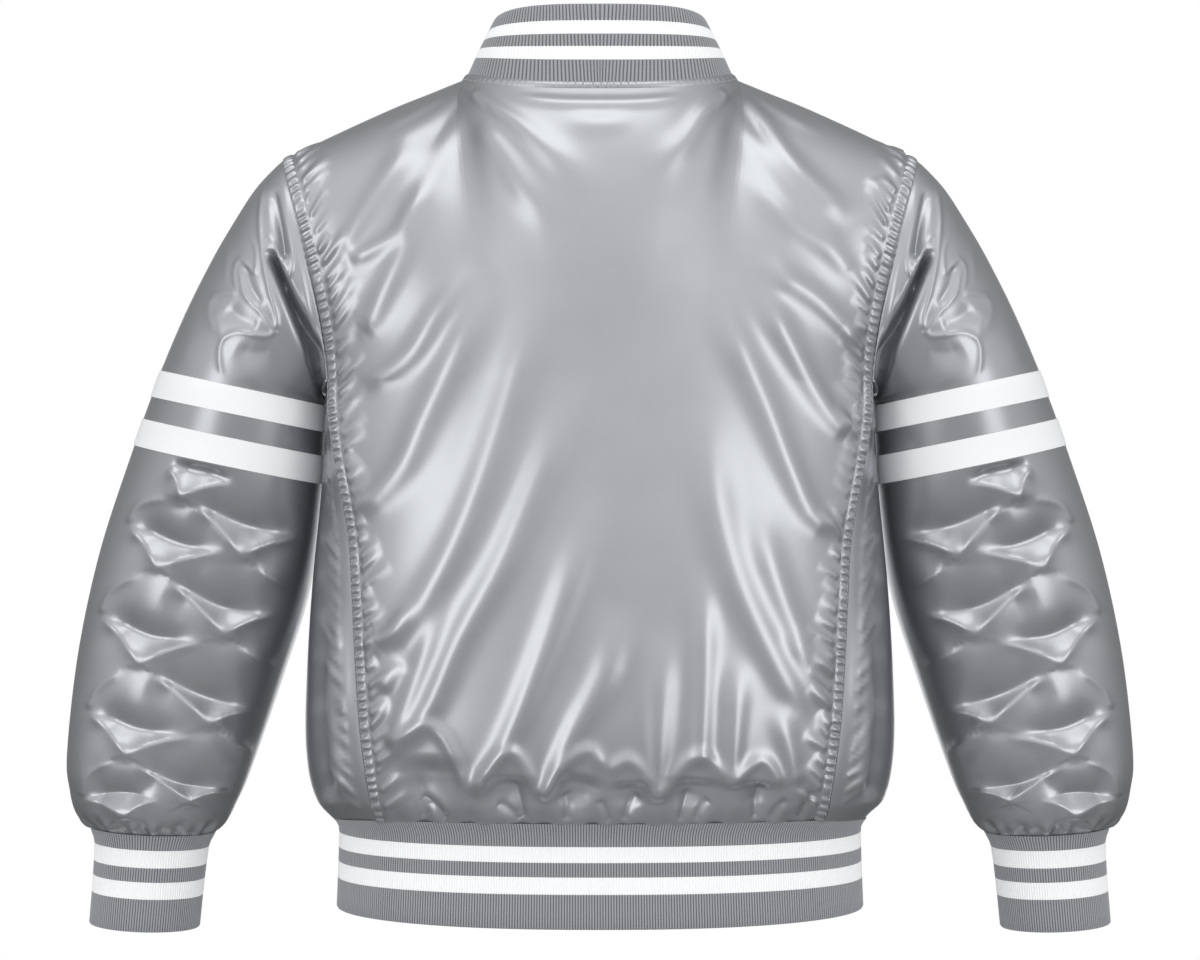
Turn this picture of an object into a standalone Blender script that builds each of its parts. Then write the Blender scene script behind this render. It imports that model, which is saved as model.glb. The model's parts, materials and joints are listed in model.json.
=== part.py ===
"""Satin jacket with rib-knit trims, filled out as if worn and hollow inside.

Metres, +Z up. The origin is the middle of the neck base, level with the tops of the shoulder
seams. The wearer would face +Y, so the back panel is on the -Y side and +X is the wearer's right.
Each sewn piece is one closed wall: an outer sheet of worked-out points, an inner sheet one cloth
thickness inside it, and a rim that joins the two.
"""

import math

import bmesh
import bpy
import numpy as np

# Cloth and seams
SATIN_WALL = 0.0015
RIB_WALL = 0.0022
STRIPE_WALL = 0.0009
SEAM_GAP = 0.0003
STEP = 1e-4  # step for measuring the slope of a surface

# Body: heights of its seams and the exponent that squares its oval sections
HEM_SEAM_Z = -0.587  # at the sides
HEM_RISE = 0.0135  # how much higher the hem seam lies at the centre back and front
HEM_RISE_END = -0.500  # the height where the rows of the body are level again
HEM_GAP = 0.0005
UNDERARM_Z = -0.236
BODY_SQUARENESS = 2.3
FRONT_OVERLAP = 0.0145  # how far each front runs past the centre line
OVERLAP_LIFT = 0.0026  # how far the upper front rises over the lower one
LIFT_START, LIFT_END = 0.030, 0.080  # the rise is full up to the first distance from the middle

BODY_SECTIONS = [
    # height, half_width, back_depth, front_depth, side_seam_x
    (-0.587, 0.2068, 0.1045, 0.1080, 0.172),
    (-0.580, 0.2130, 0.1120, 0.1155, 0.174),
    (-0.566, 0.2258, 0.1200, 0.1240, 0.177),
    (-0.536, 0.2332, 0.1265, 0.1310, 0.181),
    (-0.490, 0.2345, 0.1290, 0.1335, 0.186),
    (-0.392, 0.2290, 0.1265, 0.1320, 0.192),
    (-0.312, 0.2205, 0.1215, 0.1290, 0.196),
    (-0.236, 0.2130, 0.1155, 0.1245, 0.2129),
]

# Shoulders: the neck and arm ends of the shoulder seam, seen from behind
SHOULDER_NECK = (0.1100, 0.0, 0.0075)
SHOULDER_TIP = (0.2530, 0.0, -0.0570)
SHOULDER_ARCH = 0.0018  # rise of the seam over the straight line between its ends

NECK_RINGS = {
    # half_width, back_depth, front_depth, back_z, side_z, front_z, squareness
    "neckline": (0.1100, 0.0800, 0.0920, -0.0105, 0.0075, -0.0720, 2.5),
    "collar_base": (0.1030, 0.0780, 0.0890, -0.0025, 0.0145, -0.0640, 2.5),
    "collar_top": (0.0838, 0.0670, 0.0780, 0.0570, 0.0495, -0.0130, 3.2),
}

# Slopes of the body's upper columns, at the underarm row and at the top edge
BACK_RISE = ((0.0, 0.004, 0.215), (0.0, -0.105, 0.135))  # centre back, armhole
FRONT_RISE = ((0.0, 0.006, 0.190), (0.020, 0.270, -0.015))  # centre front, armhole
NECK_LEAN = {"back": (0.0, 0.110, 0.190), "front": (0.0, -0.085, 0.150)}
SHOULDER_ROLL = {"back": (0.0, 0.205, 0.0), "front": (0.0, -0.205, 0.0)}

# Sleeve: one row for each section, from the armhole to the cuff seam
SLEEVE_SECTIONS = [
    # outer_x, outer_z, inner_x, inner_z, centre_y, half_depth
    (0.2530, -0.0570, 0.2129, -0.2360, 0.000, 0.0540),
    (0.2735, -0.0780, 0.2160, -0.2412, 0.003, 0.0610),
    (0.2910, -0.1032, 0.2170, -0.2450, 0.006, 0.0670),
    (0.3105, -0.1350, 0.2176, -0.2482, 0.010, 0.0710),
    (0.3325, -0.1770, 0.2180, -0.2512, 0.015, 0.0740),
    (0.3540, -0.2252, 0.2185, -0.2540, 0.020, 0.0760),
    (0.3620, -0.2458, 0.2197, -0.2750, 0.023, 0.0760),
    (0.3700, -0.2660, 0.2213, -0.2968, 0.026, 0.0760),
    (0.3772, -0.2857, 0.2237, -0.3177, 0.029, 0.0755),
    (0.4055, -0.3671, 0.2352, -0.3976, 0.038, 0.0730),
    (0.4245, -0.4507, 0.2581, -0.4711, 0.042, 0.0700),
    (0.4335, -0.5322, 0.2850, -0.5485, 0.041, 0.0660),
    (0.4313, -0.5627, 0.2955, -0.5729, 0.040, 0.0620),
    (0.4260, -0.5825, 0.3037, -0.5886, 0.040, 0.0550),
    (0.4148, -0.5932, 0.3134, -0.5983, 0.040, 0.0440),
]
CAP_ROWS = 4
STRIPE_ROWS = ((5, 6), (7, 8))  # sections at the edges of the two stripe bands
BUCKLE_END = 11  # the section where the buckled length of the sleeve ends and the gathers begin
BUCKLE_ROWS, GATHER_ROWS = 11, 4

CUFF_RINGS = [
    # distance below the cuff seam, half_width, half_depth
    (0.000, 0.0498, 0.0440),
    (0.016, 0.0450, 0.0410),
    (0.078, 0.0438, 0.0400),
]
CUFF_LEAN = 0.0063 / 0.0780  # how far the cuff leans outwards for each metre down

HEM_RINGS = [
    # height at the sides, half_width, back_depth, front_depth, extra drop at centre back
    (HEM_SEAM_Z, 0.2073, 0.1050, 0.1085, 0.0),
    (-0.651, 0.2090, 0.1085, 0.1120, 0.0025),
]

# Rib knit: two neighbouring wales are raised as one ridge
RIDGE_HEIGHT = 0.0007
HEM_COLUMNS, HEM_RIDGES = 60, 4
COLLAR_RIDGES = 5
CUFF_COLUMNS, CUFF_RIDGES = 16, 4

# Mesh rows and columns of the satin panels
NECK_COLUMNS = 7
SHOULDER_COLUMNS = 9
NECK_SHARE = NECK_COLUMNS / (NECK_COLUMNS + SHOULDER_COLUMNS)  # share of the top edge that is neckline
UPPER_ROWS = 12
LOWER_HEIGHTS = (-0.587, -0.581, -0.572, -0.558, -0.536, -0.500, -0.455, -0.405, -0.350, -0.292, -0.236)

# Gathers: size, and the heights over which they fade away above a rib
GATHER_SIZE = 0.0036
HEM_GATHER_FULL, HEM_GATHER_END = -0.575, -0.503
CUFF_GATHER_SIZE = 0.0028
CUFF_GATHER_SPAN = 2.6  # sleeve sections above the cuff seam

BACK_FOLDS = [
    # start_x, start_z, end_x, end_z, half_width, height
    (-0.095, -0.030, -0.165, -0.180, 0.017, 0.0058),
    (-0.060, -0.075, -0.175, -0.330, 0.016, 0.0065),
    (-0.040, -0.140, -0.160, -0.470, 0.017, 0.0065),
    (-0.015, -0.220, -0.150, -0.535, 0.016, 0.0065),
    (0.005, -0.330, -0.085, -0.560, 0.017, 0.0058),
    (0.010, -0.440, -0.040, -0.565, 0.012, 0.0058),
    (0.085, -0.030, 0.170, -0.190, 0.017, 0.0058),
    (0.075, -0.110, 0.185, -0.270, 0.015, 0.0065),
    (0.085, -0.200, 0.180, -0.350, 0.014, 0.0072),
    (0.060, -0.260, 0.170, -0.490, 0.017, 0.0065),
    (0.050, -0.400, 0.095, -0.565, 0.015, 0.0058),
]

FRONT_FOLDS = [
    # start_x, start_z, end_x, end_z, half_width, height; both fronts have them
    (0.090, -0.060, 0.165, -0.200, 0.017, 0.0056),
    (0.060, -0.150, 0.165, -0.340, 0.017, 0.0056),
    (0.055, -0.290, 0.150, -0.520, 0.018, 0.0063),
    (0.050, -0.430, 0.090, -0.560, 0.014, 0.0056),
]

SLEEVE_DENTS = [
    # section, turn from the outer edge (1 is the inner edge, minus is the front), half_rows, half_turn, depth
    (2.6, 0.62, 1.10, 0.12, 0.0112),
    (4.2, 0.34, 0.80, 0.16, 0.0042),
    (8.75, 0.40, 0.36, 0.22, 0.0063),
    (9.15, 0.80, 0.36, 0.16, 0.0063),
    (9.45, 0.22, 0.42, 0.20, 0.0084),
    (9.85, 0.62, 0.42, 0.22, 0.0091),
    (10.30, 0.22, 0.42, 0.22, 0.0091),
    (10.70, 0.58, 0.42, 0.22, 0.0091),
    (11.15, 0.25, 0.48, 0.22, 0.0084),
    (11.75, 0.60, 0.60, 0.22, 0.0070),
    (3.4, -0.58, 1.00, 0.14, 0.0084),
    (8.90, -0.45, 0.40, 0.22, 0.0070),
    (9.40, -0.25, 0.42, 0.20, 0.0077),
    (9.80, -0.62, 0.42, 0.20, 0.0084),
    (10.25, -0.28, 0.42, 0.22, 0.0084),
    (10.65, -0.62, 0.42, 0.20, 0.0084),
    (11.15, -0.30, 0.50, 0.22, 0.0077),
]

# Snap fasteners down the centre front
SNAP_RADIUS = 0.0075
SNAP_HEIGHT = 0.0030
SNAP_SIDES = 12
SNAP_PROFILE = ((0.94, 0.0), (1.0, 0.35), (0.72, 0.85))  # shares of the radius and of the height
SNAP_HEIGHTS = (-0.105, -0.215, -0.325, -0.435, -0.545)
HEM_SNAP_Z = -0.619

MATERIALS = {
    # red, green, blue, roughness, metallic
    "silver_satin": (0.42, 0.425, 0.44, 0.36, 0.55),
    "grey_rib_knit": (0.26, 0.265, 0.285, 0.85, 0.0),
    "white_stripe_cloth": (0.90, 0.91, 0.93, 0.70, 0.0),
    "nickel_snap": (0.60, 0.60, 0.60, 0.30, 1.0),
}


def unit(vector):
    return vector / np.linalg.norm(vector)


def smooth_step(value, start, end):
    """0 before start, 1 after end, and a smooth rise between them."""
    share = min(1.0, max(0.0, (value - start) / (end - start)))
    return share * share * (3.0 - 2.0 * share)


def hermite(start, end, start_slope, end_slope, share):
    """The smooth curve from start to end that leaves and arrives along the given slopes."""
    a, b = share * share, share * share * share
    return (
        (2 * b - 3 * a + 1) * start
        + (b - 2 * a + share) * start_slope
        + (3 * a - 2 * b) * end
        + (b - a) * end_slope
    )


def read_between(places, rows, at):
    """A row of a table at any place between its own places, on a smooth curve through them."""
    places, rows = np.asarray(places, float), np.asarray(rows, float)
    i = int(np.clip(np.searchsorted(places, at) - 1, 0, len(places) - 2))

    def slope(k):
        low, high = max(k - 1, 0), min(k + 1, len(places) - 1)
        return (rows[high] - rows[low]) / (places[high] - places[low])

    span = places[i + 1] - places[i]
    return hermite(rows[i], rows[i + 1], slope(i) * span, slope(i + 1) * span, (at - places[i]) / span)


def oval_half(half_width, back_depth, front_depth, squareness, count=181):
    """Points of half an oval, from its middle at the back round +X to its middle at the front."""
    turn = np.linspace(0.0, math.pi, count)
    power = 2.0 / squareness
    across, along = np.sin(turn), np.cos(turn)
    x = half_width * np.maximum(across, 0.0) ** power
    depth = np.where(along > 0, back_depth, front_depth)
    y = -depth * np.sign(along) * np.abs(along) ** power
    return np.stack([x, y], axis=1)


def lengths_along(points):
    steps = np.linalg.norm(np.diff(points, axis=0), axis=1)
    return np.concatenate([[0.0], np.cumsum(steps)])


def neck_point(ring, turn):
    """A point of a neck ring: turn is 0 at the centre back and pi at the centre front."""
    half_width, back_depth, front_depth, back_z, side_z, front_z, squareness = NECK_RINGS[ring]
    along = math.cos(turn)
    if along >= 0:
        depth, end_z = -back_depth, back_z
    else:
        depth, end_z = front_depth, front_z
    power = 2.0 / squareness
    across, share = math.sin(turn), abs(along) ** power
    x = half_width * math.copysign(abs(across) ** power, across)
    return np.array([x, depth * share, side_z + (end_z - side_z) * share**1.4])


def top_point(side, share):
    """The top edge of a panel: the neckline first, then the shoulder seam out to its tip."""
    if share < NECK_SHARE:
        turn = share / NECK_SHARE * math.pi / 2
        return neck_point("neckline", turn if side == "back" else math.pi - turn)
    along = (share - NECK_SHARE) / (1.0 - NECK_SHARE)
    arch = np.array([0.0, 0.0, 4.0 * SHOULDER_ARCH * along * (1.0 - along)])
    return np.array(SHOULDER_NECK) * (1 - along) + np.array(SHOULDER_TIP) * along + arch


def hem_rise(y, depth):
    """How far the hem seam lies above its sides at a place: nothing at the sides, most at back and front."""
    return HEM_RISE * smooth_step(abs(y) / depth, 0.0, 1.0)


def section_point(side, share, height):
    """Below the underarm: a point of the body's oval section. Share is 0 at the middle, 1 at the side seam."""
    heights = [row[0] for row in BODY_SECTIONS]
    half_width, back_depth, front_depth, seam_x = read_between(
        heights, [row[1:] for row in BODY_SECTIONS], height
    )
    oval = oval_half(half_width, back_depth, front_depth, BODY_SQUARENESS)
    along = lengths_along(oval)
    middle = len(oval) // 2
    at_seam = np.interp(seam_x, oval[: middle + 1, 0], along[: middle + 1])
    place = share * at_seam if side == "back" else at_seam + (1 - share) * (along[-1] - at_seam)
    x, y = np.interp(place, along, oval[:, 0]), np.interp(place, along, oval[:, 1])
    near_hem = 1.0 - smooth_step(height, HEM_SEAM_Z, HEM_RISE_END)
    rise = hem_rise(y, back_depth if y < 0 else front_depth) * near_hem
    return np.array([x, y, height + rise])


def body_point(side, share, level):
    """The body's smooth form. Level is 0 at the hem seam, 1 at the underarm and 2 at the top edge."""
    if share < 0:
        return body_point(side, -share, level) * np.array([-1.0, 1.0, 1.0])
    if level <= 1:
        return section_point(side, share, HEM_SEAM_Z + (UNDERARM_Z - HEM_SEAM_Z) * level)
    middle_rise, armhole_rise = BACK_RISE if side == "back" else FRONT_RISE
    near_armhole = share**3
    rise = np.array(middle_rise) * (1 - near_armhole) + np.array(armhole_rise) * near_armhole
    on_shoulder = smooth_step(share, 0.35 * NECK_SHARE, 1.5 * NECK_SHARE)
    arrive = np.array(NECK_LEAN[side]) * (1 - on_shoulder) + np.array(SHOULDER_ROLL[side]) * on_shoulder
    start = section_point(side, share, UNDERARM_Z)
    return hermite(start, top_point(side, share), rise, arrive, level - 1)


def body_normal(side, share, level):
    """The direction straight out of the body's smooth form."""
    low_share, high_share = share - STEP, min(share + STEP, 1.0)
    low_level, high_level = max(level - STEP, 0.0), min(level + STEP, 2.0)
    across = body_point(side, high_share, level) - body_point(side, low_share, level)
    upward = body_point(side, share, high_level) - body_point(side, share, low_level)
    outward = np.cross(across, upward)
    return unit(outward if side == "back" else -outward)


def armhole_point(turn):
    """The armhole seam. Turn is 0 at the shoulder tip and pi at the underarm, minus on the front."""
    turn = (turn + math.pi) % (2 * math.pi) - math.pi
    side = "back" if turn >= 0 else "front"
    return body_point(side, 1.0, 2.0 - abs(turn) / math.pi)


def sleeve_ring(section, turn):
    row = read_between(range(len(SLEEVE_SECTIONS)), SLEEVE_SECTIONS, section)
    outer_x, outer_z, inner_x, inner_z, centre_y, half_depth = row
    reach = math.cos(turn)
    x = (outer_x + inner_x) / 2 + reach * (outer_x - inner_x) / 2
    z = (outer_z + inner_z) / 2 + reach * (outer_z - inner_z) / 2
    return np.array([x, centre_y - half_depth * math.sin(turn), z])


def sleeve_point(section, turn):
    """The sleeve's smooth form: its rings, bent at the top so that the first one is the armhole seam."""
    near_armhole = 1.0 - smooth_step(section, 0.0, 3.5)
    return sleeve_ring(section, turn) + near_armhole * (armhole_point(turn) - sleeve_ring(0.0, turn))


def sleeve_normal(section, turn):
    last = len(SLEEVE_SECTIONS) - 1
    along = sleeve_point(min(section + STEP, last), turn) - sleeve_point(max(section - STEP, 0.0), turn)
    around = sleeve_point(section, turn + STEP) - sleeve_point(section, turn - STEP)
    return unit(np.cross(around, along))


def fold_height(folds, x, z):
    """How far the folds of a table lift the cloth at a place: each is a soft ridge along a line."""
    total = 0.0
    for start_x, start_z, end_x, end_z, half_width, height in folds:
        run_x, run_z = end_x - start_x, end_z - start_z
        share = ((x - start_x) * run_x + (z - start_z) * run_z) / (run_x**2 + run_z**2)
        share = min(1.0, max(0.0, share))
        away = math.hypot(x - start_x - share * run_x, z - start_z - share * run_z)
        total += height * math.exp(-((away / half_width) ** 2))
    return total


def uneven(index):
    """A steady way to make gathers differ: between 0.45 and 1."""
    return 0.725 + 0.275 * math.sin(2.4 * index + 0.9 * math.sin(1.3 * index))


def hem_gather(column, row):
    """Neighbouring columns go in and out by turns just above the hem, most a little over the seam."""
    height = LOWER_HEIGHTS[min(row, len(LOWER_HEIGHTS) - 1)]
    fade = 1.0 - smooth_step(height, HEM_GATHER_FULL, HEM_GATHER_END)
    at_seam = 0.35 + 0.65 * smooth_step(height, HEM_SEAM_Z, HEM_GATHER_FULL)
    return GATHER_SIZE * uneven(column) * fade * at_seam * (1 if column % 2 else -1)


def sleeve_relief(section, turn, column):
    """Dents of the slack sleeve and gathers above the cuff."""
    share = turn / math.pi
    total = 0.0
    for at_section, at_turn, half_rows, half_turn, depth in SLEEVE_DENTS:
        rows, turns = (section - at_section) / half_rows, (share - at_turn) / half_turn
        total -= depth * math.exp(-rows * rows - turns * turns)
    last = len(SLEEVE_SECTIONS) - 1
    fade = smooth_step(section, last - CUFF_GATHER_SPAN, last - 0.8)
    at_seam = 1.0 - 0.65 * smooth_step(section, last - 0.8, last)
    return total + CUFF_GATHER_SIZE * uneven(column) * fade * at_seam * (1 if column % 2 else -1)


def mirrored(points):
    return np.asarray(points) * np.array([-1.0, 1.0, 1.0])


def seam_frame(loop, outward):
    """Along a closed seam loop: the unit direction across the seam, square to the loop and to outward."""
    ahead, behind = np.roll(loop, -1, axis=0), np.roll(loop, 1, axis=0)
    across = np.cross(ahead - behind, outward)
    return across / np.linalg.norm(across, axis=1, keepdims=True)


def add_object(name, vertices, faces, material):
    """One closed wall as an object with its own mesh, faces pointing out."""
    mesh = bpy.data.meshes.new(name)
    mesh.from_pydata([tuple(v) for v in vertices], [], faces)
    shape = bmesh.new()
    shape.from_mesh(mesh)
    bmesh.ops.recalc_face_normals(shape, faces=shape.faces)
    shape.to_mesh(mesh)
    shape.free()
    mesh.shade_smooth()
    mesh.set_sharp_from_angle(angle=math.radians(50))
    mesh.materials.append(material)
    item = bpy.data.objects.new(name, mesh)
    bpy.context.scene.collection.objects.link(item)
    return item


def add_wall(name, outer, inner, material, closed=False):
    """A cloth wall from two sheets of points, rows by columns. A closed one is a tube whose columns meet."""
    rows, columns = outer.shape[:2]
    vertices = np.concatenate([outer.reshape(-1, 3), inner.reshape(-1, 3)])
    inside = rows * columns

    def at(row, column):
        return row * columns + column % columns

    faces = []
    spans = columns if closed else columns - 1
    for row in range(rows - 1):
        for column in range(spans):
            a, b = at(row, column), at(row, column + 1)
            d, c = at(row + 1, column), at(row + 1, column + 1)
            # Both sheets are split along the same diagonal, so that the wall keeps its thickness
            faces += [(a, b, c), (a, c, d)]
            faces += [(inside + a, inside + c, inside + b), (inside + a, inside + d, inside + c)]
    rim = [(at(0, c), at(0, c + 1)) for c in range(spans)]
    rim += [(at(rows - 1, c + 1), at(rows - 1, c)) for c in range(spans)]
    if not closed:
        rim += [(at(r + 1, 0), at(r, 0)) for r in range(rows - 1)]
        rim += [(at(r, columns - 1), at(r + 1, columns - 1)) for r in range(rows - 1)]
    faces += [(b, a, inside + a, inside + b) for a, b in rim]
    return add_object(name, vertices, faces, material)


def add_ribbed_band(name, rings, normals, ridges, material, closed=True):
    """A rib-knit band. Rings are coarse rows of points; each span between columns carries raised ridges
    on straight chords outside, over a plain inside."""
    rows, columns = rings.shape[:2]
    spans = columns if closed else columns - 1
    fine = 2 * ridges
    vertices, outer_at, inner_at = [], {}, {}
    fine_columns = spans * fine if closed else spans * fine + 1
    for row in range(rows):
        for k in range(fine_columns):
            column, share = k // fine, (k % fine) / fine
            ahead = (column + 1) % columns if closed else min(column + 1, columns - 1)
            point = rings[row, column] * (1 - share) + rings[row, ahead] * share
            outward = unit(normals[row, column] * (1 - share) + normals[row, ahead] * share)
            outer_at[row, k] = len(vertices)
            vertices.append(point + outward * RIDGE_HEIGHT * (k % 2))
        for column in range(columns):
            inner_at[row, column] = len(vertices)
            vertices.append(rings[row, column] - normals[row, column] * RIB_WALL)
    faces = []
    for row in range(rows - 1):
        for k in range(spans * fine):
            ahead = (k + 1) % fine_columns
            top, bottom = row, row + 1
            faces.append((outer_at[top, k], outer_at[top, ahead], outer_at[bottom, ahead], outer_at[bottom, k]))
        for column in range(spans):
            ahead = (column + 1) % columns
            upper = (inner_at[row, ahead], inner_at[row, column])
            faces.append(upper + (inner_at[row + 1, column], inner_at[row + 1, ahead]))
    for row in (0, rows - 1):
        for column in range(spans):
            edge = [outer_at[row, (column * fine + k) % fine_columns] for k in range(fine + 1)]
            ring = edge + [inner_at[row, (column + 1) % columns], inner_at[row, column]]
            faces.append(tuple(reversed(ring)) if row == 0 else tuple(ring))
    if not closed:
        for row in range(rows - 1):
            first, last = columns - 1, fine_columns - 1
            faces.append((outer_at[row, 0], inner_at[row, 0], inner_at[row + 1, 0], outer_at[row + 1, 0]))
            end = (inner_at[row, first], outer_at[row, last])
            faces.append(end + (outer_at[row + 1, last], inner_at[row + 1, first]))
    return add_object(name, vertices, faces, material)


def panel_shares():
    """Column places of half a panel, from its middle to its side: neckline columns, then shoulder columns."""
    return np.linspace(0.0, 1.0, NECK_COLUMNS + SHOULDER_COLUMNS + 1)


def panel_levels():
    lower = [(z - HEM_SEAM_Z) / (UNDERARM_Z - HEM_SEAM_Z) for z in LOWER_HEIGHTS]
    return np.concatenate([lower, 1.0 + np.arange(1, UPPER_ROWS + 1) / UPPER_ROWS])


def armhole_seam():
    """The armhole loop, from the shoulder tip down the back and up the front, with the direction out of
    the seam and the direction across it, from body to sleeve."""
    back = [math.pi * k / UPPER_ROWS for k in range(UPPER_ROWS + 1)]
    front = [-math.pi * k / UPPER_ROWS for k in range(UPPER_ROWS - 1, 0, -1)]
    turns = back + front
    loop = np.array([armhole_point(turn) for turn in turns])
    of_body, of_sleeve, shared = [], [], []
    for turn in turns:
        side = "back" if turn >= 0 else "front"
        body_out = body_normal(side, 1.0, 2.0 - abs(turn) / math.pi)
        sleeve_out = sleeve_normal(0.0, turn)
        both = unit(body_out + sleeve_out)
        # In the hollow under the arm the two walls part, and each keeps its own direction
        apart = 1.0 - smooth_step(float(body_out @ sleeve_out), 0.1, 0.6)
        of_body.append(unit(both * (1 - apart) + body_out * apart))
        of_sleeve.append(unit(both * (1 - apart) + sleeve_out * apart))
        shared.append(both)
    across = seam_frame(loop, np.array(shared))
    across = across if across[0][0] > 0 else -across
    return {"turns": turns, "loop": loop, "body_out": of_body, "sleeve_out": of_sleeve, "across": across}


def neck_seam(below, above, turns):
    """Directions out of a neck ring and up across it, from the surfaces that meet there."""
    outward, across = [], []
    for turn in turns:
        along = neck_point(below, turn + STEP) - neck_point(below, turn - STEP)
        up = unit(neck_point(above, turn) - neck_point(below, turn))
        out = unit(np.cross(along, up))
        outward.append(out)
        across.append(unit(np.cross(out, along)))
    return np.array(outward), np.array(across)


def level_out(directions):
    """Directions laid level, so that a row moved along them keeps its height."""
    flat = np.asarray(directions) * np.array([1.0, 1.0, 0.0])
    return flat / np.linalg.norm(flat, axis=-1, keepdims=True)


def half_panel(side, armhole):
    """Outer points, directions out and place on the form for half a panel on the +X side."""
    loop = armhole["loop"]
    shares, levels = panel_shares(), panel_levels()
    points = np.zeros((len(levels), len(shares), 3))
    for row, level in enumerate(levels):
        for column, share in enumerate(shares):
            points[row, column] = body_point(side, share, level)
    last = len(levels) - 1
    # Directions out, from neighbouring points; the edges that a seam shares are read from the form itself
    beside = np.concatenate([mirrored(points[:, 1:2]), points, points[:, -1:]], axis=1)
    across = beside[:, 2:] - beside[:, :-2]
    upward = np.gradient(points, axis=0)
    outward = np.cross(across, upward) * (1.0 if side == "back" else -1.0)
    outward /= np.linalg.norm(outward, axis=2, keepdims=True)
    for row, level in enumerate(levels):
        outward[row, -1] = body_normal(side, 1.0, level)
    shoulder = np.array(SHOULDER_TIP) - np.array(SHOULDER_NECK)
    outward[last, NECK_COLUMNS:] = unit(np.cross(shoulder, (0.0, 1.0, 0.0)))
    # The top edge: neckline columns lean with the binding, and each column steps back half a seam gap
    turns = shares[: NECK_COLUMNS + 1] / NECK_SHARE * math.pi / 2
    turns = turns if side == "back" else math.pi - turns
    outward[last, : NECK_COLUMNS + 1], across = neck_seam("neckline", "collar_base", turns)
    points[last, : NECK_COLUMNS + 1] -= across * SEAM_GAP / 2
    points[last, NECK_COLUMNS:, 1] += SEAM_GAP / 2 * (-1.0 if side == "back" else 1.0)
    # The side seam, and above it the armhole seam that the sleeve shares
    seam_row = len(LOWER_HEIGHTS) - 1
    for row, level in enumerate(levels):
        if row <= seam_row:
            inward = body_point(side, 1 - 10 * STEP, level) - body_point(side, 1.0, level)
            points[row, -1] += unit(inward) * SEAM_GAP / 2
        if row >= seam_row:
            k = last - row
            k = k if side == "back" or k in (0, UPPER_ROWS) else len(loop) - k
            outward[row, -1] = armhole["body_out"][k]
            points[row, -1] -= armhole["across"][k] * SEAM_GAP / 2
    # The bottom row stands on the hem rib and keeps its edge level
    points[0, :, 2] += HEM_GAP
    outward[0] = level_out(outward[0])
    return points, outward


def add_back(material, armhole):
    points, outward = half_panel("back", armhole)
    points = np.concatenate([mirrored(points[:, :0:-1]), points], axis=1)
    outward = np.concatenate([mirrored(outward[:, :0:-1]), outward], axis=1)
    outer = points.copy()
    rows, columns = points.shape[:2]
    for row in range(1, rows - 1):
        for column in range(1, columns - 1):
            x, _, z = points[row, column]
            lift = fold_height(BACK_FOLDS, x, z) + hem_gather(column, row)
            outer[row, column] += outward[row, column] * lift
    add_wall("back_panel", outer, outer - outward * SATIN_WALL, material)


def front_overlap_column(levels):
    """The edge column of a front, past the centre line by the same distance at every height."""
    points, outward = [], []
    for level in levels:
        reach = body_point("front", 0.02, level)[0] / 0.02
        share = -FRONT_OVERLAP / reach
        points.append(body_point("front", share, level))
        outward.append(body_normal("front", share, level))
    points, outward = np.array(points), np.array(outward)
    points[0, 2] += HEM_GAP
    outward[0] = level_out(outward[0])
    points[-1] += unit(points[-2] - points[-1]) * SEAM_GAP / 2
    return points, outward


def add_front(name, sign, upper, material, armhole):
    """One front. The upper one of the two rises over the lower by a wall and a gap where they overlap."""
    points, outward = half_panel("front", armhole)
    edge, edge_out = front_overlap_column(panel_levels())
    points = np.concatenate([edge[:, None], points], axis=1)
    outward = np.concatenate([edge_out[:, None], outward], axis=1)
    outer = points.copy()
    rows, columns = points.shape[:2]
    for row in range(rows):
        for column in range(columns):
            x, _, z = points[row, column]
            lift = 0.0
            if upper:
                lift = OVERLAP_LIFT * (1.0 - smooth_step(x, LIFT_START, LIFT_END))
            if 0 < row < rows - 1 and 3 < column < columns - 1:
                lift += fold_height(FRONT_FOLDS, x, z) + hem_gather(column + 1, row)
            outer[row, column] += outward[row, column] * lift
    inner = outer - outward * SATIN_WALL
    if sign < 0:
        outer, inner = mirrored(outer), mirrored(inner)
    add_wall(name, outer, inner, material)


def sleeve_rows():
    last = len(SLEEVE_SECTIONS) - 1
    cap = np.linspace(0, STRIPE_ROWS[0][0], CAP_ROWS + 1)[:-1]
    stripes = [float(row) for pair in STRIPE_ROWS for row in pair][:-1]
    buckled = np.linspace(STRIPE_ROWS[-1][1], BUCKLE_END, BUCKLE_ROWS + 1)[:-1]
    return np.concatenate([cap, stripes, buckled, np.linspace(BUCKLE_END, last, GATHER_ROWS + 1)])


def sleeve_sheet(armhole):
    turns = armhole["turns"]
    sections = sleeve_rows()
    outer = np.zeros((len(sections), len(turns), 3))
    outward = np.zeros_like(outer)
    for row, section in enumerate(sections):
        for column, turn in enumerate(turns):
            outward[row, column] = sleeve_normal(section, turn)
            outer[row, column] = sleeve_point(section, turn)
            if 0 < row < len(sections) - 1:
                outer[row, column] += outward[row, column] * sleeve_relief(section, turn, column)
    outer[0] = armhole["loop"] + armhole["across"] * SEAM_GAP / 2
    outward[0] = armhole["sleeve_out"]
    return outer, outward


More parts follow.
